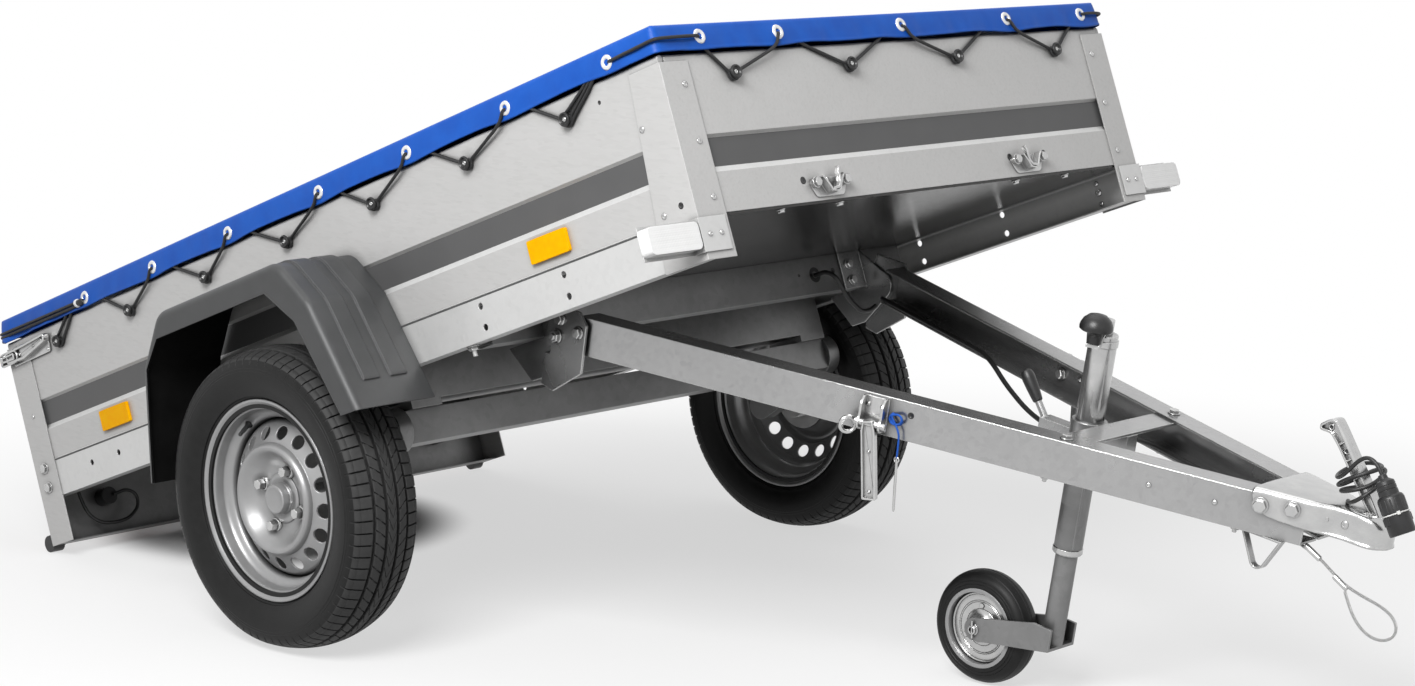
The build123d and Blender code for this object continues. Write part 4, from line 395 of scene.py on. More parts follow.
class Shape:
    """Collects the faces of one piece."""

    def __init__(self):
        self.points, self.faces = [], []

    def rings(self, rings, closed=True, start=True, end=True):
        """Skin between rings of points, with caps on the open ends."""
        first, count = len(self.points), len(rings[0])
        for ring in rings:
            self.points += [tuple(p) for p in ring]
        for i in range(len(rings) - 1):
            for j in range(count if closed else count - 1):
                a, b = first + i * count + j, first + i * count + (j + 1) % count
                self.faces.append((a, b, b + count, a + count))
        if start:
            self.faces.append(tuple(range(first, first + count))[::-1])
        if end:
            self.faces.append(tuple(range(first + (len(rings) - 1) * count, first + len(rings) * count)))

    def turned(self, profile, pose, sides=20, start=True, end=True):
        """Profile of (radius, height) turned about the pose's z axis."""
        spokes = [(cos(2 * pi * k / sides), sin(2 * pi * k / sides)) for k in range(sides)]
        self.rings([[pose @ Vector((r * c, r * s, h)) for c, s in spokes] for r, h in profile], start=start,
            end=end)

    def tube(self, profile, pose, sides):
        """Turned profile with both ends open."""
        self.turned(profile, pose, sides, start=False, end=False)

    def slab(self, pose, outline, depth, bevel=0.8, recess=None):
        """Plate with eased edges, and with a sunk middle where recess gives its border and depth."""
        levels = [(outline, 0), (outline, depth - bevel), (inset(outline, bevel), depth)]
        if recess:
            border, sunk = recess
            levels += [(inset(outline, border), depth), (inset(outline, border + 0.6), depth - sunk)]
        self.rings([[pose @ Vector((x, y, z)) for x, y in ring] for ring, z in levels])

    def ring(self, pose, radius, wire, sides=32):
        """Round ring of wire in the pose's xy plane."""
        circles = []
        for k in range(sides + 1):
            turn, circle = 2 * pi * k / sides, []
            for j in range(10):
                a = pi * j / 5
                r = radius + wire * cos(a)
                circle.append(pose @ Vector((r * cos(turn), r * sin(turn), wire * sin(a))))
            circles.append(circle)
        self.rings(circles, start=False, end=False)

    def done(self, name, finish, body, angle=35, weld=1e-6):
        mesh = bpy.data.meshes.new(name)
        mesh.from_pydata(self.points, [], self.faces)
        work = bmesh.new()
        work.from_mesh(mesh)
        bmesh.ops.remove_doubles(work, verts=work.verts, dist=weld)
        bmesh.ops.recalc_face_normals(work, faces=work.faces)
        work.to_mesh(mesh)
        work.free()
        mesh.polygons.foreach_set("use_smooth", [True] * len(mesh.polygons))
        mesh.set_sharp_from_angle(angle=radians(angle))
        return piece(name, mesh, finish, body)


def thicken(piece, thickness):
    """Thickness of a sheet, half to each side."""
    modifier = piece.modifiers.new("thickness", "SOLIDIFY")
    modifier.thickness = thickness
    modifier.offset = 0


def bolt(shape, at, flats=17.0, washer=True):
    """Washer and chamfered hexagon head."""
    base = 2.0 if washer else 0.0
    if washer:
        shape.turned([(flats * 0.68, 0), (flats * 0.70, 0.4), (flats * 0.70, 1.6), (flats * 0.66, 2.0)], at, 24)
    corner, height = flats / 2 / cos(pi / 6), flats * 0.4
    shape.turned([(corner * 0.97, base), (corner, base + 0.5), (corner, base + height - 1.2)], at, 6, end=False)
    shape.turned([(corner, base + height - 1.2), (corner * 0.88, base + height - 0.2),
        (corner * 0.4, base + height)], at, 6, start=False)


def rivet(shape, at, radius=5.5):
    """Low domed head with the mandrel's dimple."""
    shape.turned([(radius, 0), (radius * 0.96, 0.9), (radius * 0.72, 2.0), (radius * 0.36, 2.5),
        (radius * 0.3, 1.7)], at, 18)


def nut(shape, at, flats=17.0, stud=8.0):
    """Hexagon nut with the end of its bolt."""
    bolt(shape, at, flats)
    shape.turned([(flats * 0.29, 2), (flats * 0.29, flats * 0.4 + stud - 1), (flats * 0.24, flats * 0.4 + stud)],
        at, 14)


def hole_shade(shape, at, radius):
    """Shallow dark dish that stands for a small hole: painted shade for its dark inside."""
    shape.turned([(radius, 0), (radius, 0.25), (radius * 0.85, 0.3), (radius * 0.7, 0.12)], at, 18)


# Bolts, rivets and small holes of the bed, each hole a dark dish of painted shade
bed_bolts, bed_rivets, bed_holes = Shape(), Shape(), Shape()
for side, bed, bar in SIDES:
    for x, z in ((981, 389), (981, 246)):
        rivet(bed_rivets, facing(bed, (x, -POST, z), OUT))
    for z in (441, 347, 255):
        rivet(bed_rivets, facing(bed, (FRONT, -547, z), FORE))
    for z in (222, 182):
        bolt(bed_bolts, facing(bed, (-888, -POST, z), OUT), 16)
    rivet(bed_rivets, facing(bed, (-888, -POST, 330), OUT), 4.5)
    for y in (552, 578):
        rivet(bed_rivets, facing(bed, (1055.5, -y, 196.5), FORE), 4.5)
    for y in (386, 240):
        bolt(bed_bolts, facing(bed, (1040, -y, 224), DOWN), 11)
    nut(bed_bolts, facing(bed, (512, -441.5, 145), OUT), 19, 5)
    for z in (200, 168):
        bolt(bed_bolts, facing(bed, (480, -392, z), FORE), 15)
    nut(bed_bolts, facing(bed, (446, -575, 159), DOWN), 17, 12)
    for z in (213, 196, 174):
        rivet(bed_rivets, facing(bed, (957, -588.5, z), (0, 1, 0)), 5.0 if z != 196 else 7.0)
    hole_shade(bed_holes, facing(bed, (901, -WALL, 458), OUT), 3.5)
    hole_shade(bed_holes, facing(bed, (1023, -POST, 252), OUT), 5.5)
    for y in (-327, -227):
        hole_shade(bed_holes, facing(bed, (FRONT_FACE, y, 265), FORE), 6.5)
for y, z, radius in ((349, 192, 5.5), (403, 191, 6.0), (250, 192, 3.0)):
    hole_shade(bed_holes, facing(BED, (475, y, z), FORE), radius)
bed_holes.tube([(15, 0), (15, 0.25), (12, 0.3), (7, 0.12)], facing(BED, (475, 295, 189), FORE), 28)
bed_bolts.done("bed_bolts", zinc, "bed")
bed_rivets.done("bed_rivets", zinc, "bed")
bed_holes.done("bed_holes", plastic, "bed")

# Seam where each side wall laps its rail: painted highlight on a strip for the wall's folded edge, painted shade
# below it
seam_shade, seam_highlight = Shape(), Shape()
SEAM_REAR, SEAM_FRONT = -866, 980
rail_out = -1000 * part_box("side_rail_right")[0][1]
for side, bed, bar in SIDES:
    for shape, face, low, high, depth, bevel in ((seam_shade, rail_out, 230.0, 232.9, 0.3, 0.1),
            (seam_highlight, max(WALL, rail_out), 233.2, 235.4, 0.4, 0.2)):
        corners = [(SEAM_REAR, low), (SEAM_FRONT, low), (SEAM_FRONT, high), (SEAM_REAR, high)]
        shape.slab(frame_at(bed, (0, -face, 0), FORE, UP), corners, depth, bevel)
seam_shade.done("wall_seam_shade", groove, "bed")
seam_highlight.done("wall_seam_highlight", galvanised, "bed")

# Latch saddles on the front wall: a plate with a cradle, its finger and two bolts on spacers
saddles = Shape()
for side, bed, bar in SIDES:
    at = frame_at(bed, (FRONT_FACE, -270, 254), (0, 1, 0), UP)
    saddles.slab(at, eased([(-34, -20), (34, -20), (46, 4), (40, 13), (-40, 13), (-46, 4)], 6), 3)
    saddles.slab(at, strip([(-26, 12), (-19, 4), (-9, -13), (0, -15), (9, -13), (19, 4), (25, 11)], 3.5), 19)
    finger = at @ move((0, 0, 12))
    saddles.slab(finger, strip([(-8, -11), (6, -9), (12, -2), (14, 8), (13, 17), (17, 25)], 5), 8)
    for y in (-37, 37):
        base = at @ move((y, 4, 3))
        saddles.turned([(8.5, 0), (8.5, 7), (7.5, 8)], base, 20)
        bolt(saddles, base @ move((0, 0, 7)), 14)
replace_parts(saddles.done("front_saddles", zinc, "bed"), "latch_saddles")

# Tailgate toggles: a base plate, a sunk lever and a wire bail round the rear corner
toggles, bails = Shape(), []
for side, bed, bar in SIDES:
    at = frame_at(bed, (0, -POST, 458), FORE, UP)
    toggles.slab(at, eased([(-907, -19), (-770, -17), (-769, 20), (-907, 19)], 6), 3)
    lever = at @ move((0, 0, 3))
    toggles.slab(lever, eased([(-912, -11), (-850, -13), (-764, 5), (-764, 20), (-850, 15), (-912, 12)], 5), 13,
        recess=(4.2, 6))
    toggles.slab(lever, eased([(-925, -6), (-880, -7), (-880, 7), (-925, 6)], 3), 15, recess=(3.5, 4))
    for x, z in ((-782, 10), (-815, 5), (-868, 0)):
        rivet(toggles, lever @ move((x, z, 7)), 3.6)
    for x, z in ((-899, 14), (-776, -11)):
        rivet(toggles, at @ move((x, z, 3)), 3.6)
    hook = frame_at(bed, (-937, -608, 458), (0, 1, 0), UP)
    toggles.slab(hook, eased([(0, -9), (44, -9), (44, 9), (0, 9)], 3), 7)
    bail = [(-876, -607, 447), (-900, -607, 446), (-925, -606, 446), (-939, -604, 447), (-941, -603, 458),
        (-939, -604, 469), (-925, -606, 470), (-900, -607, 470), (-876, -607, 469), (-872, -607, 458)]
    bails.append(world_mm(bed, bail))
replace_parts(toggles.done("tailgate_toggles", zinc, "bed"), "tailgate_latches")
curve_piece("toggle_bails", bails, 2.4, zinc, "bed", MM, cyclic=True)

# Bolts and rivets of the drawbar, and a dark dish of painted shade for a hole in each arm
bar_bolts, bar_holes = Shape(), Shape()
for side, bed, bar in SIDES:
    for x, z in ((51, 20), (4, 32)):
        bolt(bar_bolts, facing(bar, (x, -441, z), OUT), 17)
    for x, z in ((1209, 30), (1257, 36)):
        bolt(bar_bolts, facing(bar, (x, -arm_y(x) - 5.4, z), ARM_OUT), 19)
    for x, y, z in ((1303, 40.5, 33), (1334, 32.8, 32)):
        rivet(bar_bolts, facing(bar, (x, -y, z), OUT), 7)
    bolt(bar_bolts, facing(bar, (883, -arm_y(883) + 22, 47.5), UP), 15)
    nut(bar_bolts, facing(bar, (1165, -arm_y(1165) + 20, -19.5), DOWN), 13, 7)
    nut(bar_bolts, facing(bar, (860, -arm_y(860) + 20, -19.5), DOWN), 13, 7)
    hole_shade(bar_holes, facing(bar, (641, -arm_y(641), 25), ARM_OUT), 5.5)
    bolt(bar_bolts, facing(bar, (566, 4.4 - arm_y(566), 8), ARM_IN), 17)
    rivet(bar_bolts, facing(bar, (617, 4.4 - arm_y(617), 14), ARM_IN), 5)
    for x in (1034, 1138):
        rivet(bar_bolts, facing(bar, (x, -arm_y(x), 14), ARM_OUT), 4.5)
    rivet(bar_bolts, facing(bar, (1150, 4.4 - arm_y(1150), 16), ARM_IN), 6)
bar_bolts.done("drawbar_bolts", zinc, "drawbar")
bar_holes.done("drawbar_holes", plastic, "drawbar")

# Tilt latches: two ears on a plate, a pin with its ring, and a hanging sunk lever
latches = Shape()
EAR = [(14, -26), (26, -24), (31, -14), (24, -4), (24, 18), (12, 31), (0, 29), (0, -28)]
for side, bed, bar in SIDES:
    at = frame_at(bar, (582, -arm_y(582), 14), (cos(SLOPE), sin(SLOPE), 0), UP)
    latches.slab(at, eased([(-23, -28), (23, -28), (23, 29), (-23, 29)], 4), 3)
    for u in (-21, 17):
        ear = at @ move((u, 0, 0)) @ Matrix(((0, 0, 1, 0), (0, 1, 0, 0), (1, 0, 0, 0), (0, 0, 0, 1)))
        latches.slab(ear, eased(EAR, 6), 4)
    pin = at @ move((-27, -13, 23)) @ spin(pi / 2, 4, "Y")
    latches.turned([(3, 0), (5.4, 1.5), (5.4, 54), (4.2, 56)], pin, 18)
    latches.ring(at @ move((-37, -23, 23)) @ spin(0.7, 4, "Y"), 13, 3.6)
    lever = at @ move((0, -13, 20)) @ spin(radians(BAR_DIP), 4, "Z")
    latches.slab(lever, eased([(-12.5, -128), (12.5, -128), (12.5, -11), (9, 6), (-9, 6), (-12.5, -11)], 3), 11,
        recess=(3.2, 5))
    for v in (-47, -115):
        rivet(latches, lever @ move((0, v, 6)), 3.2)
    rivet(latches, at @ move((-13, 14, 3)), 4)
    rivet(latches, at @ move((12, 14, 3)), 4)
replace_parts(latches.done("side_latches", zinc, "drawbar"), "tilt_latches")

# Lanyard on the near latch: looped round its bolt, then straight down to a long pin
lanyard_y = -arm_y(636) - 9
bolt_place = Vector((621, lanyard_y, 14))
string = [tuple(bolt_place + Vector((-4, 7, 2)))]
for k in range(26):
    turn = 2.2 + 2 * pi * k / 12
    radius = 11 + 3 * sin(k)
    string.append(tuple(bolt_place + Vector((radius * cos(turn), -0.16 * k, radius * sin(turn)))))
string += [(632, lanyard_y - 4, -3), (634, lanyard_y - 3, -18), (635, lanyard_y - 3, -38),
    (635.5, lanyard_y - 3, -49), (639.5, lanyard_y - 3, -88), (644, lanyard_y - 3, -133)]
lanyard = curve_piece("latch_lanyard", [string], 1.7, blue_string, "drawbar", BAR)
latch_pin = Shape()
at = facing(BAR, (635.5, lanyard_y - 3, -49), (0.104, 0, -0.995))
latch_pin.turned([(1.5, -2), (2.3, 2), (2.3, 86), (1.4, 90)], at, 14)
latch_pin.ring(facing(BAR, (635.5, lanyard_y - 3, -51), (0, 1, 0)), 4.5, 1.3, 20)
pin_piece = latch_pin.done("latch_pin", zinc, "drawbar")

# Road wheels: tread tyres, stepped rims with round vents, hub caps, bolts and valves
TYRE_R, TREAD_FROM_R = 273.8, 254
CROWN_DROP, CROWN_HALF = 14.0, 64.0
GROOVES = [(-37, 6.0), (-12.5, 7.0), (12.5, 7.0), (37, 6.0)]


def crown(y):
    return TYRE_R - CROWN_DROP * (abs(y) / CROWN_HALF) ** 2


def tyre_rows():
    """Section from the inner to the outer bead: (y, radius, depth of the cross grooves, their lead)."""
    side = [(-56.6, 166.0, 0, 0), (-56.6, 182.8, 0, 0), (-60, 187.5, 0, 0), (-63.2, 188.3, 0, 0),
        (-65.0, 192.5, 0, 0), (-65.4, 194, 0, 0), (-67.6, 198, 0, 0), (-73.5, 214, 0, 0), (-75.6, 226, 0, 0),
        (-75.9, 234, 0, 0), (-75.1, 235.0, 0, 0), (-75.0, 239, 0, 0), (-74.2, 240, 0, 0), (-73.8, 246, 1.2, 0),
        (-70.6, 254, 2.6, 0), (-66.5, 258.4, 4.0, 0), (-63, crown(63), 5.0, 0)]
    tread = []
    edges = [-60] + [g + s * w / 2 for g, w in GROOVES for s in (-1, 1)] + [60]
    for k in range(0, len(edges), 2):
        a, b = edges[k], edges[k + 1]
        shoulder, middle = abs(a + b) > 80, a < 0 < b
        depth, lead = (5.0, 0.0) if shoulder else (3.0, 0.035)
        for share in (0, 0.07, 0.5, 0.93, 1):
            y = a + (b - a) * share
            drop = 0.8 if share in (0, 1) else 0.0
            ahead = lead * (abs(y) if not middle else 3.0 * abs(y - (a + b) / 2))
            tread.append((y, crown(y) - drop, depth if share != 0.5 or shoulder else 0.8, ahead))
        if k + 2 < len(edges):
            tread.append((b + 0.6, crown(b) - 6.5, 0, 0))
            tread.append((edges[k + 2] - 0.6, crown(edges[k + 2]) - 6.5, 0, 0))
    return side + tread + [(-y, r, d, -l) for y, r, d, l in reversed(side)]


def road_tyre(name, side):
    rows, shape, pitches = tyre_rows(), Shape(), 76
    cuts = ((0.0, 0), (0.42, 0), (0.83, 0), (0.86, 1), (0.95, 1), (0.98, 0))
    columns = [(k + f, deep) for k in range(pitches) for f, deep in cuts]
    rings = []
    for y, radius, depth, lead in rows:
        ring = []
        for k, deep in columns:
            turn = 2 * pi * (k + lead) / pitches
            r = radius - (depth if deep else 0)
            ring.append(BED @ Vector((r * cos(turn), side * (TRACK + y), r * sin(turn))))
        rings.append(ring)
    shape.rings(rings + rings[:1], start=False, end=False)
    tyre = shape.done("road_" + name, rubber, "wheel_" + name, 28)
    tyre.data.materials.append(tread_rubber)
    for face in tyre.data.polygons:
        place = to_bed @ face.center
        if hypot(place.x, place.z) > TREAD_FROM_R:
            face.material_index = 1
    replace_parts(tyre, "tyre_" + name)


BARREL = [(182.2, 56.5), (182.8, 58.5), (181.6, 60.2), (178.8, 60.5), (175.5, 58.6), (172, 55), (167.5, 52),
    (163.8, 50), (161.8, 46), (161.4, 34), (159.5, 30), (154, 26), (149, 23.5), (146.2, 20), (145, 15),
    (144.8, -12), (146.5, -17), (151, -21), (157, -24.5), (160.5, -29), (161.4, -34), (161.4, -46), (163.5, -50),
    (167, -52), (171.5, -56), (175, -59), (178.6, -60.5), (181.6, -60.2), (182.8, -58.5), (182.2, -56.5)]
DISC_EDGE = [(144.8, 0), (143.6, 6), (141.5, 11), (139, 15), (136, 17.5)]
DISC_MIDDLE = [(103, 38), (102.2, 41.5), (100.8, 46), (98.6, 49.3), (95.6, 51.3), (92.4, 51.5), (89, 50),
    (84, 45.5), (78, 39), (71, 32), (65, 27), (59, 23.8), (53, 22.2), (46, 22), (31, 22)]
SHEET, BOLT_CIRCLE, VALVE_R = 3.5, 55, 153
# Vented band: its vents, middle radius and half width, a vent's radius, half a vent's share of the band,
# and the band's inner edge and slope
VENTS, BAND_R, BAND_HALF, VENT_R = 16, 119.5, 16.5, 13.8
SHARE_ROUND, SHARE_OUT = 23.4, 19.4
BAND_INNER_R, BAND_INNER_H, BAND_SLOPE = 103, 38, 0.62


def vent(shape, at, k):
    """One vent's share of the band: a sector with a round hole, front and back."""
    border, hole = [], []
    square = [(-1 + j / 4, -1) for j in range(8)] + [(1, -1 + j / 2) for j in range(4)]
    square += [(1 - j / 4, 1) for j in range(8)] + [(-1, 1 - j / 2) for j in range(4)]
    for u, v in square:
        border.append((pi * (2 * k + u) / VENTS, BAND_R + BAND_HALF * v))
        size = VENT_R / hypot(u * SHARE_ROUND, v * SHARE_OUT)
        hole.append((pi * (2 * k + u * size) / VENTS, BAND_R + BAND_HALF * v * size))

    def lay(points, back):
        laid = []
        for a, r in points:
            height = BAND_INNER_H - (r - BAND_INNER_R) * BAND_SLOPE - back
            laid.append(at @ Vector((r * cos(a), r * sin(a), height)))
        return laid

    shape.rings([lay(border, 0), lay(hole, 0), lay(hole, SHEET), lay(border, SHEET)], start=False, end=False)


for name, side in (("left", 1), ("right", -1)):
    road_tyre(name, side)
    at = facing(BED, (0, side * TRACK, 0), (0, side, 0))
    rim = Shape()
    rim.tube(BARREL, at, 128)
    for profile in (DISC_EDGE, DISC_MIDDLE):
        rim.tube(profile, at, 128)
        rim.tube([(r, h - SHEET) for r, h in profile], at, 128)
    for k in range(VENTS):
        vent(rim, at, k)
    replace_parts(rim.done("road_rim_" + name, rim_silver, "wheel_" + name, 30, 2e-5), "rim_" + name)
    cap = Shape()
    cap.turned([(45, 22.2), (45, 24), (43, 25.4), (36, 25.8), (34, 24.6), (29.5, 24.6), (29, 27), (27.2, 29),
        (27, 41), (25.6, 43.6), (22, 44.2), (20.4, 43.4), (6, 43.6)], at, 48)
    cap.done("hub_cap_" + name, rim_silver, "wheel_" + name)
    wheel = Shape()
    for k in range(4):
        turn = radians(50 + 90 * k)
        seat = at @ move((BOLT_CIRCLE * cos(turn), BOLT_CIRCLE * sin(turn), 22))
        wheel.turned([(13.5, 0), (13.8, 2), (12.2, 5), (10.4, 5.8)], seat, 24, end=False)
        wheel.turned([(10.3, 5.0), (10.3, 17), (9.2, 19), (4, 19.4)], seat, 6, start=False)
    wheel.done("wheel_bolts_" + name, zinc, "wheel_" + name)
    valve = Shape()
    turn = radians(73 if side > 0 else 107)
    stem = at @ move((VALVE_R * cos(turn), VALVE_R * sin(turn), 24)) @ spin(turn, 4, "Z")
    stem = stem @ spin(-0.55, 4, "Y")
    valve.turned([(8, -1), (7.5, 2), (5.5, 5), (4.4, 10), (4.2, 24), (3.6, 25), (3.6, 34), (2.8, 35.5)], stem, 14)
    valve.done("valve_" + name, plastic, "wheel_" + name)

# Cover: one sheet over the rims, with a hem that stands off the walls
HALF_X, HALF_Y, MID_X, TOP, HEM = 990.0, 592.6, 62.9, 539.5, 495.0
SIDE_EYE_Z, FRONT_EYE_Z = 512, 516
SIDE_EYES = [946, 691, 424, 168, -115, -368, -608]
FRONT_EYES = [-492, -304, 14, 311, 536]


def outline(count):
    """Points round the cover at its corners' radius: (x, y, outward x, outward y)."""
    radius, points = 9.0, []
    corners = [(1, 1), (-1, 1), (-1, -1), (1, -1)]
    for k, (sx, sy) in enumerate(corners):
        cx, cy = sx * (HALF_X - radius), sy * (HALF_Y - radius)
        for j in range(7):
            turn = k * pi / 2 + j * pi / 12
            points.append((cx + radius * cos(turn), cy + radius * sin(turn), cos(turn), sin(turn)))
        nx, ny = corners[(k + 1) % 4]
        length = 2 * (HALF_Y if nx == sx else HALF_X) - 2 * radius
        runs = int(count * length / 4000)
        x, y, ox, oy = points[-1]
        for j in range(1, runs):
            t = j / runs
            points.append((x + (nx - sx) * (HALF_X - radius) * t, y + (ny - sy) * (HALF_Y - radius) * t, ox, oy))
    return points


def ripple(x, y):
    """Soft folds along the hem, stronger at the rear corners."""
    along = x + 1.7 * y
    folds = 0.8 * sin(along / 23.0) + 0.6 * sin(along / 9.7 + 1.0) * sin(along / 61.0)
    rear = exp(-((x + HALF_X) / 170.0) ** 2)
    return folds * (0.6 + 2.6 * rear)


def near_eye(x, y):
    """How close a place on the outline is to an eyelet, from 0 to 1."""
    if abs(y) > HALF_Y - 12:
        return max(exp(-((x + MID_X - e) / 45.0) ** 2) for e in SIDE_EYES)
    if x > HALF_X - 12:
        return max(exp(-((y - e) / 45.0) ** 2) for e in FRONT_EYES)
    return 0.0


rim_points = outline(560)
LEVELS = [(0.0, 5.2), (0.03, 5.7), (0.07, 5.6), (0.10, 5.0), (0.16, 4.8), (0.34, 4.2), (0.52, 3.4), (0.70, 2.4),
    (0.80, 1.6), (0.86, 1.3), (0.93, 0.4)]
rings = []
for share, flare in LEVELS:
    ring = []
    for x, y, ox, oy in rim_points:
        rear = exp(-((x + HALF_X) / 90.0) ** 2)
        low = HEM - 3.0 * near_eye(x, y) + 1.2 * sin(x / 47 + y / 37) - 6.0 * rear * (abs(y) > HALF_Y - 12)
        if x < -HALF_X + 12:
            low += 5
        z = low + (TOP - low) * share
        off = flare + ripple(x, y) * (1 - share) * 1.3 + 1.4 * near_eye(x, y) * sin(share * pi)
        ring.append((x + ox * off, y + oy * off, z))
    rings.append(ring)
TOP_RINGS = [(1.2, -1.4), (4.0, 0.0), (12, 0.2)] + [(border, 0) for border in (34, 80, 150, 240, 340, 450, 560)]
for border, lift in TOP_RINGS:
    ring = []
    for x, y, ox, oy in rim_points:
        px = max(-HALF_X + border, min(HALF_X - border, x))
        py = max(-HALF_Y + border, min(HALF_Y - border, y))
        depth = max(0.0, 1 - (px / HALF_X) ** 2) ** 0.6 * max(0.0, 1 - (py / HALF_Y) ** 2)
        waves = 1.6 * sin(px / 93.0) * sin(py / 71.0) + 0.9 * sin((px - 2 * py) / 120.0)
        ring.append((px, py, TOP + lift - 13 * depth + waves * min(1.0, border / 150.0)))
    rings.append(ring)
cloth = Shape()
cloth.rings([[BED @ Vector((x + MID_X, y, z)) for x, y, z in ring] for ring in rings], start=False)
cover = cloth.done("flat_cover", cover_cloth, "bed", 50, 2e-4)
thicken(cover, 0.0012)
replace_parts(cover, "cover")

# Eyelets in the hem
eyelets = Shape()
EYELET = [(5.4, -1.6), (5.4, 1.0), (6.4, 2.4), (8.8, 3.0), (11.4, 2.4), (12.8, 0.8), (12.8, -0.4), (12.0, -1.6)]


def hem_out(z):
    """How far the hem stands off at a level."""
    return 5.6 - 4.4 * (z - HEM) / (TOP - HEM)


for side, bed, bar in SIDES:
    for x in SIDE_EYES:
        place = (x, -HALF_Y - hem_out(SIDE_EYE_Z) - 1.2, SIDE_EYE_Z)
        eyelets.tube(EYELET, facing(bed, place, (0, -1, 0.08)), 24)
for y in FRONT_EYES:
    place = (MID_X + HALF_X + hem_out(FRONT_EYE_Z) + 1.2, y, FRONT_EYE_Z)
    eyelets.tube(EYELET, facing(BED, place, (1, 0, 0.08)), 24)
eyelet_piece = eyelets.done("eyelets", nickel, "bed")

# Knobs with dished heads and a rivet in the middle
KNOB_Z = 453.0
side_knobs = [825 - 259.5 * k for k in range(7)]
front_knobs = [-432 + 288 * k for k in range(4)]
knob_places = [(bed, (x, -WALL, KNOB_Z), OUT) for side, bed, bar in SIDES for x in side_knobs]
knob_places += [(BED, (FRONT_FACE, y, KNOB_Z), FORE) for y in front_knobs]
knobs, knob_rivets = Shape(), Shape()
for pose, place, normal in knob_places:
    at = facing(pose, place, normal)
    knobs.turned([(8.5, 0), (8.2, 1.5), (5.8, 3), (5.6, 8.5), (9, 9), (11.6, 10), (12.2, 12), (11.4, 14.2),
        (9.6, 15), (8.4, 14.2), (7.2, 11.8), (4.5, 11.2), (3, 11.2)], at, 26)
    knob_rivets.turned([(4.2, 11.2), (4.2, 12.0), (3.2, 13.0), (1.8, 13.3), (1.2, 12.4)], at, 16)
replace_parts(knobs.done("lacing_buttons", plastic, "bed"), "lacing_knobs")
knob_rivets.done("button_rivets", zinc, "bed")

# Elastic lacing between the eyelets and the knobs: how far out and how high it lies at the hem's edge and
# behind it, and below and above a knob's middle
EDGE, BEHIND = (3.6, 497), (3.4, 506)
LOW, HIGH = KNOB_Z - 10.5, KNOB_Z + 2
routes = []


def mixed(a, b, share):
    return tuple(p + (q - p) * share for p, q in zip(a, b))


def lace(put, knob, first, last):
    """One stretch past the lower side of a knob; points are (along, out, level)."""
    ahead = 1 if last[0][0] > first[-1][0] else -1
    near, leave = (knob - 10.5 * ahead, 4.8, HIGH), (knob + 10.5 * ahead, 4.8, HIGH)
    points = first + [mixed(first[-1], near, 0.5), mixed(first[-1], near, 0.9), near]
    points += [(knob - 8.5 * ahead, 4.8, LOW), (knob + 8.5 * ahead, 4.8, LOW)]
    points += [leave, mixed(leave, last[0], 0.1), mixed(leave, last[0], 0.5)] + last
    routes.append([put(*p) for p in points])


def hitched(put, knob, hem):
    """A doubled stretch from under the hem round a knob and back."""
    down, back, top = (hem, *EDGE), (hem - 20, *EDGE), (knob + 3, 5.2, KNOB_Z + 11)
    points = [(hem, 3.6, 506), down, mixed(down, (knob + 9, 4.8, KNOB_Z - 6), 0.9), (knob + 9, 4.8, KNOB_Z - 8)]
    points += [(knob + 1, 4.8, KNOB_Z - 13), (knob - 10, 5.2, KNOB_Z - 7), (knob - 9, 5.2, KNOB_Z + 7), top]
    points += [mixed(top, back, 0.5), back, (hem - 20, 3.6, 506)]
    routes.append([put(*p) for p in points])


def over(eye, level, way):
    """Out of an eyelet and down over the hem towards a knob on one side."""
    return [(eye - way, -6, level), (eye, 8, level), (eye + 5 * way, 12, level - 4),
        (eye + 16 * way, 11.5, HEM - 4)]


for side, bed, bar in SIDES:
    def put(along, out, level, bed=bed):
        return (bed @ Vector((along, -WALL - out, level))) * 1000
    hitched(put, side_knobs[0], side_knobs[0] + 84)
    hitched(put, side_knobs[6], side_knobs[6] + 66)
    for k, x in enumerate(side_knobs[:6]):
        after = x + 0.62 * (SIDE_EYES[k + 1] - x)
        tuck = [(after, *EDGE), (after - 8, *BEHIND)]
        first = over(SIDE_EYES[k], 511, -1) if k else [(x + 78, *BEHIND), (x + 72, *EDGE)]
        lace(put, x, first, tuck)
    front_eye = 492 if side == "right" else 536
    corner = [(946, HALF_Y - 6, 511), (947, HALF_Y + 8, 511), (975, HALF_Y + 9, 512), (1040, HALF_Y + 8, 514),
        (1058, HALF_Y + 7, 515), (1063, HALF_Y - 9, 515.5), (1064, front_eye + 26, 516),
        (1063, front_eye + 1, 516), (1046, front_eye, 516)]
    routes.append(world_mm(bed, [(x, -y, z) for x, y, z in corner]))


def put_front(along, out, level):
    return (BED @ Vector((FRONT_FACE + out, along, level))) * 1000


def under(place, way):
    return [(place, *EDGE), (place + 8 * way, *BEHIND)]


lace(put_front, front_knobs[0], under(-484, -1)[::-1], over(FRONT_EYES[1], 515, -1)[::-1])
lace(put_front, front_knobs[1], under(-256, -1)[::-1], under(-42, 1))
lace(put_front, front_knobs[2], over(FRONT_EYES[2], 515, 1), under(236, 1))
lace(put_front, front_knobs[3], over(FRONT_EYES[3], 515, 1), under(500, 1))
for lift in (0.0, 7.0):
    half = [(-615, HALF_Y + 8, 502 + lift), (-700, HALF_Y + 9, 502 + lift), (-880, HALF_Y + 9, 504 + lift),
        (-926, HALF_Y + 8, 505 + lift), (-935, HALF_Y - 4, 506 + lift), (-936, HALF_Y - 60, 506 + lift)]
    loop = [(x, -y, z) for x, y, z in half] + [(x, y, z) for x, y, z in reversed(half)]
    routes.append(world_mm(BED, loop))
curve_piece("lacing_cord", routes, 2.9, lace_black, "bed", MM, segments=3)

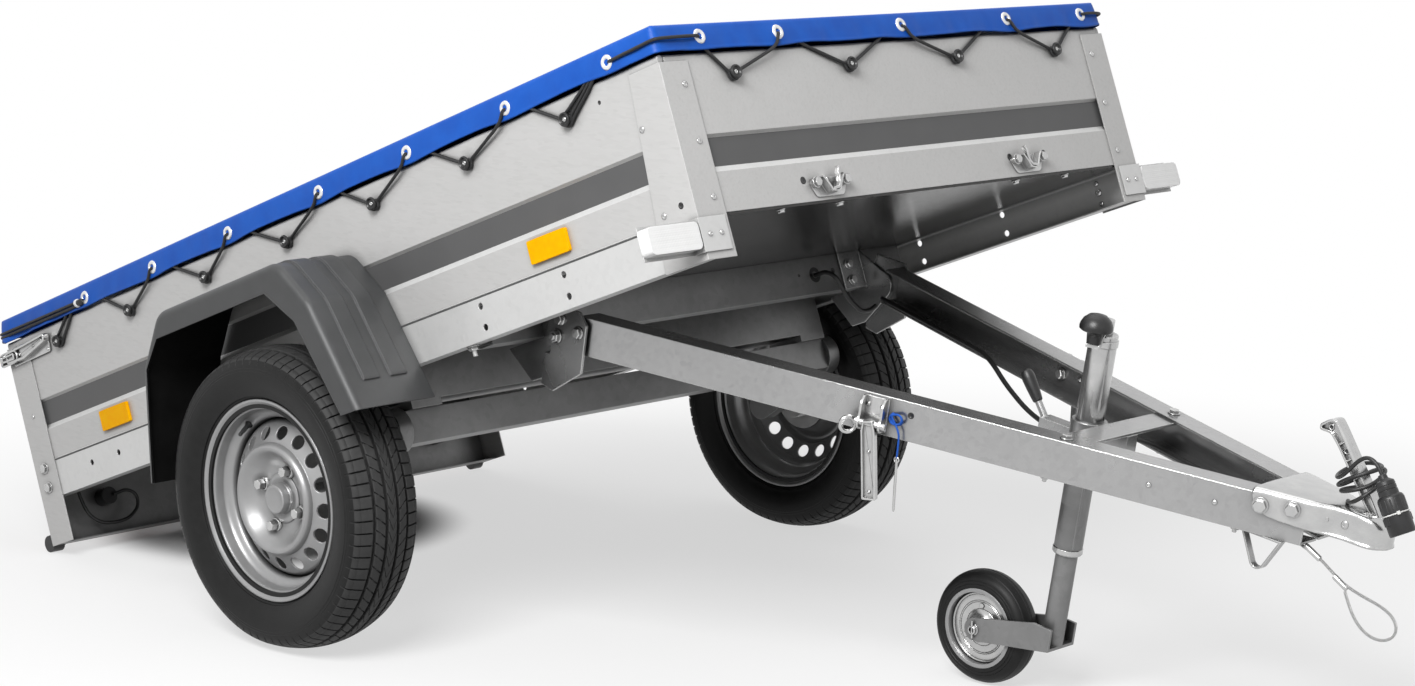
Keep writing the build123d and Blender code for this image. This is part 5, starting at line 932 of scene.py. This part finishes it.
# Hooks that close the lacing by the rear eyelets
hooks, hook_rings = Shape(), Shape()
for side, bed, bar in SIDES:
    at = facing(bed, (-624, -HALF_Y - 10, 506), (-1, 0, 0))
    hooks.turned([(3.5, -14), (6.0, -10), (6.5, 0), (6.0, 10), (4.0, 16)], at, 16)
    hook_rings.turned([(6.6, 3), (8.4, 4), (8.6, 8), (7.0, 9.5)], at, 18)
hooks.done("lacing_hooks", plastic, "bed")
hook_rings.done("lacing_hook_rings", tie_white, "bed")

# Coupling: a pressed shell over the arm ends, its ball socket, and a sunk lever with ribs
body, socket = Shape(), Shape()
STATIONS = [(1193, 54.2, 46), (1196, 54.6, 36), (1201, 55, 27), (1209, 55.2, 19), (1222, 55.2, 14),
    (1240, 55.2, 11.5), (1262, 55.2, 10), (1278, 55.2, 9), (1296, 55.2, 8.4), (1315, 55.4, 8), (1335, 55.8, 8),
    (1352, 55.4, 8), (1366, 54.2, 8), (1377, 51.6, 8), (1386, 47.5, 8), (1392.5, 42.5, 8), (1396.5, 36.5, 8),
    (1398.6, 29, 8)]
sections = []
NECK, NOSE, NOSE_R, LAP = 1278, 1330, 31.0, 3.6
for x, top, low in STATIONS:
    if x <= NECK:
        half = arm_y(x) + LAP
    elif x < NOSE:
        t = (x - NECK) / (NOSE - NECK)
        half = arm_y(NECK) + LAP - (arm_y(NECK) + LAP - NOSE_R) * (3 * t * t - 2 * t ** 3)
    else:
        half = sqrt(max(20.0, NOSE_R ** 2 - max(0.0, x - SOCKET.x) ** 2))
    lip = 4.0 * min(1.0, max(0.0, (x - 1285) / 30))
    dent = 2.2 * exp(-((x - 1290) / 14) ** 2)
    middle = (top + low) / 2
    edge = min(9.0, 0.6 * half)
    run = [(0, top + 1.4), (0.4 * half, top + 1.2), (half - edge, top), (half - 0.4 * edge, top - 1.2),
        (half - 0.1 * edge, top - 4), (half, top - 9), (half - dent, middle), (half - 0.5 * dent, low + 6),
        (half + 0.5 * lip, low + 2.5), (half + lip, low)]
    near_half = [BAR @ Vector((x, -y, z)) for y, z in reversed(run)]
    sections.append(near_half + [BAR @ Vector((x, y, z)) for y, z in run[1:]])
body.rings(sections, closed=False, start=False)
shell = body.done("coupling_shell", zinc, "drawbar", 50)
thicken(shell, 0.0036)
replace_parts(shell, "coupling_body")
cup = BAR @ move((SOCKET.x, 0, 0))
socket.turned([(29, 9), (25.3, 9), (25.3, 28), (22.5, 39), (14, 46.5), (5, 49.5)], cup, 40, start=False)
socket.done("coupling_socket", zinc, "drawbar")

lever, holes = Shape(), Shape()
LEVER = [(-14, -7), (20, -9), (140, -9), (157, -8), (162, 2), (162, 22), (155, 27), (149, 21), (142, 12),
    (118, 9.5), (20, 9), (-14, 6)]
for flip in (Matrix.Identity(4), MIRROR):
    at = frame_at(BAR @ flip, SOCKET, handle_way, handle_back)
    lever.slab(at, eased(LEVER, 6), 12.5, 1.5, recess=(4.0, 5.5))
    for u in (34, 62, 92, 120):
        rib = at @ move((u, 0, 6))
        lever.slab(rib, [(-1.6, -6), (1.6, -6), (1.6, 6), (-1.6, 6)], 5.5)
    for u, v in ((106, 0), (150, 8)):
        lever.ring(at @ move((u, v, 7.2)), 4.2, 1.4, 20)
        # Dark dish of painted shade for the hole inside each ring
        hole_shade(holes, at @ move((u, v, 7.0)), 3.4)
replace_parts(lever.done("coupling_lever", zinc, "drawbar"), "coupling_handle")
holes.done("lever_holes", plastic, "drawbar")

# Plug: a ribbed round connector on its bush, with the tie that holds it
plug_pose = facing(BAR, (1388, -40, 124), (0.57, 0, -0.82))
plug, tie = Shape(), Shape()
plug.turned([(4.2, -9), (6.5, -8), (7.4, -2), (10, 0), (14.5, 3), (15.4, 8), (14.6, 9), (15.4, 10), (15.4, 15),
    (14.6, 16), (15.6, 17), (15.8, 24), (19.0, 26), (20.6, 29), (20.8, 52), (19.4, 53), (19.4, 55), (20.8, 56),
    (20.8, 84), (20.0, 86.2), (17.5, 86.6), (17.0, 78), (4, 77)], plug_pose, 40)
for k in range(14):
    rib = plug_pose @ spin(2 * pi * k / 14, 4, "Z") @ move((20.6, 0, 30.5))
    plug.slab(rib, [(-0.6, -1.3), (0.5, -0.9), (0.5, 0.9), (-0.6, 1.3)], 19.5, 0.2)
for k in range(2):
    ear = plug_pose @ spin(pi * k + 0.4, 4, "Z") @ move((19, 0, 57))
    plug.slab(ear, eased([(0, -6), (6, -4), (6, 4), (0, 6)], 2), 12)
plug_piece = plug.done("lead_plug", plastic, "drawbar")
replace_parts(plug_piece, "plug")
tie.ring(plug_pose @ move((0, 0, 54)), 20.6, 1.3, 40)
tie_head = plug_pose @ spin(2.4, 4, "Z") @ move((20.5, 0, 51))
tie.slab(tie_head, [(0, -2.5), (4, -2.5), (4, 2.5), (0, 2.5)], 6)
tie_piece = tie.done("plug_tie", tie_white, "drawbar")

# Ferrules of the safety cable
ferrules = Shape()
for place, way, half in (((1288, -30, -29.6), (0.91, 0, -0.41), 16), ((1345, -30, -60), (0.9, 0, -0.44), 14)):
    at = facing(BAR, place, way)
    ferrules.turned([(2.6, -half - 1), (4.6, -half), (5.0, 2 - half), (5.0, half - 2), (4.6, half),
        (2.6, half + 1)], at, 16)
ferrule_piece = ferrules.done("rope_ferrules", zinc, "drawbar")

# Jockey: grips, collars, solid tyre with its ridges, hub and axle ends
grips = Shape()
JOCKEY_X, CRANK_R, crank_turn = 820, 46, radians(-75)
knob_at = BAR @ move((JOCKEY_X + CRANK_R * cos(crank_turn), CRANK_R * sin(crank_turn), 193))
grips.turned([(9, -14), (12, -12.5), (13, -3), (13.6, 4), (16, 7), (24, 8.4), (27.6, 11), (28, 15), (27, 20),
    (23, 28), (15, 35), (5, 37.6)], knob_at, 36)
clamp_lean = radians(129)
sleeve_at = facing(BAR, (745, 0, -2.8), (cos(clamp_lean), 0, sin(clamp_lean)))
grips.turned([(6.5, 52), (8.4, 54), (9.4, 62), (10.8, 78), (11.6, 94), (11.2, 102), (8.6, 108), (4, 110.4)],
    sleeve_at, 28)
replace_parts(grips.done("jockey_hand_grips", plastic, "drawbar"), "jockey_grips")
collars = Shape()
tube_at = BAR @ move((JOCKEY_X, 0, 0))
for z, height in ((168, 12), (-196, 10)):
    collars.tube([(24.1, z), (25.8, z + 1), (25.8, z + height - 1), (24.1, z + height)], tube_at, 40)
collars.tube([(24, 187), (23, 188.4), (12, 189.4), (11, 196)], tube_at, 40)
collars.done("jockey_collars", zinc, "drawbar")
# Sleeve on the lower jockey tube in the under-bed steel: partly its matte grey, partly painted shade
sleeve = Shape()
sleeve.tube([(24.1, -186), (24.4, -185), (24.4, -110), (24.2, -109), (24.4, -108), (24.4, -24), (24.1, -23)],
    tube_at, 48)
for turn in (-0.6, 2.5):
    rib = tube_at @ spin(turn, 4, "Z") @ move((23.6, 0, -184))
    sleeve.slab(rib, [(0, -2), (1.4, -1.6), (1.4, 1.6), (0, 2)], 150, 0.4)
sleeve.done("jockey_lower_sleeve", shaded_under_steel, "drawbar")

jockey_at = facing(move(centre("jockey_tyre")) @ MM, (0, 0, 0), (0, 1, 0))
half_tyre = [(70.6, 26.4), (73.5, 26.9), (76.4, 27), (77.2, 26), (78.4, 27), (82, 27), (82.8, 26), (84, 26.9),
    (86.5, 26.4), (91, 24), (94.6, 19), (95.4, 17.8), (95, 17), (96.4, 16), (98.8, 9), (99.6, 3.2), (99, 2.2)]
ridges = [(r, -h) for r, h in half_tyre] + half_tyre[::-1]
jockey_tyre = Shape()
jockey_tyre.tube(ridges + ridges[:1], jockey_at, 96)
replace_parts(jockey_tyre.done("jockey_solid_tyre", rubber, "jockey_wheel", 28), "jockey_tyre")
jockey_hub = Shape()
for turn in (0, pi):
    face = jockey_at @ spin(turn, 4, "X")
    jockey_hub.turned([(63, 15), (60.5, 16.6), (57, 14.4), (50, 14), (46, 15.6), (42, 14.2), (34, 14.4), (30, 16),
        (24, 18), (19, 23), (17, 27), (14, 28.4), (9.5, 28.4)], face, 56)
    for k in range(3):
        spot = 0.5 + 2 * pi * k / 3
        bolt(jockey_hub, face @ move((38 * cos(spot), 38 * sin(spot), 13.8)), 9, False)
jockey_hub.done("jockey_hub", zinc, "jockey_wheel")
axle_ends = Shape()
fork_low, fork_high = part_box("jockey_fork")
half_fork = (fork_high[1] - fork_low[1]) * 500
for turn in (0, pi):
    end = jockey_at @ spin(turn, 4, "X") @ move((0, 0, half_fork))
    axle_ends.turned([(10.5, -0.2), (10.5, 1.5), (8.2, 2), (8, 6), (7, 7), (5.2, 7), (5, 2)], end, 24)
    split_pin = end @ move((0, 0, 4.2)) @ spin(pi / 2, 4, "X")
    axle_ends.turned([(1.6, -15), (1.8, -13), (1.8, 13), (1.4, 16)], split_pin, 10)
axle_ends.done("jockey_axle_ends", zinc, "jockey_fork")

# Tail lamp lenses
lens_red, lens_amber = Shape(), Shape()
for side, bed, bar in SIDES:
    at = frame_at(bed, (-956.5, 0, 145), OUT, UP)
    for shape, inner, outer in ((lens_red, 366, 470), (lens_amber, 474, 545)):
        shape.slab(at, eased([(inner, -35), (outer, -35), (outer, 35), (inner, 35)], 5), 7, 2)
lens_red.done("tail_lens_red", red_lens, "bed")
lens_amber.done("tail_lens_amber", amber, "bed")

# Stage: pale floor that keeps the shadow, white surroundings and soft light
floor_mesh = bpy.data.meshes.new("floor_plane")
floor_mesh.from_pydata([(-30, -30, 0), (30, -30, 0), (30, 30, 0), (-30, 30, 0)], [], [(0, 1, 2, 3)])
floor = bpy.data.objects.new("stage_floor", floor_mesh)
floor.location.z = -0.0005
scene.collection.objects.link(floor)


def seen_rays(tree):
    """1 for rays from the camera, from gloss and through glass."""
    paths = node(tree, "LightPath").outputs
    pair = operate(tree, "Math", "MAXIMUM", paths["Is Camera Ray"], paths["Is Glossy Ray"])
    return operate(tree, "Math", "MAXIMUM", pair, paths["Is Transmission Ray"])


def fade(tree, distance, **span):
    made = node(tree, "MapRange", distance, **span)
    made.interpolation_type = "SMOOTHSTEP"
    return made.outputs["Result"]


# The floor's white grows with the distance, and is left out under the tipped bed, so that its shadow shows
UNDER_BED = (AXLE.x - 0.78, -0.1, 0)
floor_look = bpy.data.materials.new("stage_floor")
floor_look.use_nodes = True
tree = floor_look.node_tree
tree.nodes.clear()
place, seen = node(tree, "TexCoord").outputs["Object"], seen_rays(tree)
shade = colour_mix(tree, seen, (*grey(0.30), 1), (*grey(0.9), 1))
diffuse = node(tree, "BsdfDiffuse", Color=shade).outputs["BSDF"]
glow = node(tree, "Emission", Strength=1.0).outputs["Emission"]
far = fade(tree, operate(tree, "VectorMath", "LENGTH", place), From_Min=1.2, From_Max=2.8, To_Min=0.62)
from_bed = operate(tree, "VectorMath", "DISTANCE", place, UNDER_BED)
lit = operate(tree, "Math", "MULTIPLY", far, fade(tree, from_bed, From_Min=0.28, From_Max=0.42))
share = operate(tree, "Math", "MULTIPLY", lit, seen)
node(tree, "OutputMaterial", Surface=node(tree, "MixShader", share, diffuse, glow).outputs["Shader"])
floor_mesh.materials.append(floor_look)

world = bpy.data.worlds.new("studio")
scene.world = world
world.use_nodes = True
tree = world.node_tree
tree.nodes.clear()
soft = node(tree, "Background", Strength=0.25, Color=(1, 1, 1, 1)).outputs["Background"]
white = node(tree, "Background", Strength=1.0, Color=(1, 1, 1, 1)).outputs["Background"]
blend = node(tree, "MixShader", seen_rays(tree), soft, white)
node(tree, "OutputWorld", Surface=blend.outputs["Shader"])


def lamp(name, place, target, size, power):
    data = bpy.data.lights.new(name, "AREA")
    data.shape = "RECTANGLE"
    data.size, data.size_y = size
    data.energy = power
    obj = bpy.data.objects.new(name, data)
    obj.location = place
    obj.rotation_euler = (Vector(target) - Vector(place)).to_track_quat("-Z", "Y").to_euler()
    scene.collection.objects.link(obj)


lamp("key", (1.5, -3.5, 3.5), (0.5, 0, 0.6), (2.4, 1.8), 240)
lamp("front", (5.2, -1.0, 2.6), (0.4, 0, 0.5), (2.5, 2.0), 6)
lamp("top", (0, 0.5, 5.0), (0, 0, 0.5), (4.0, 3.0), 38)
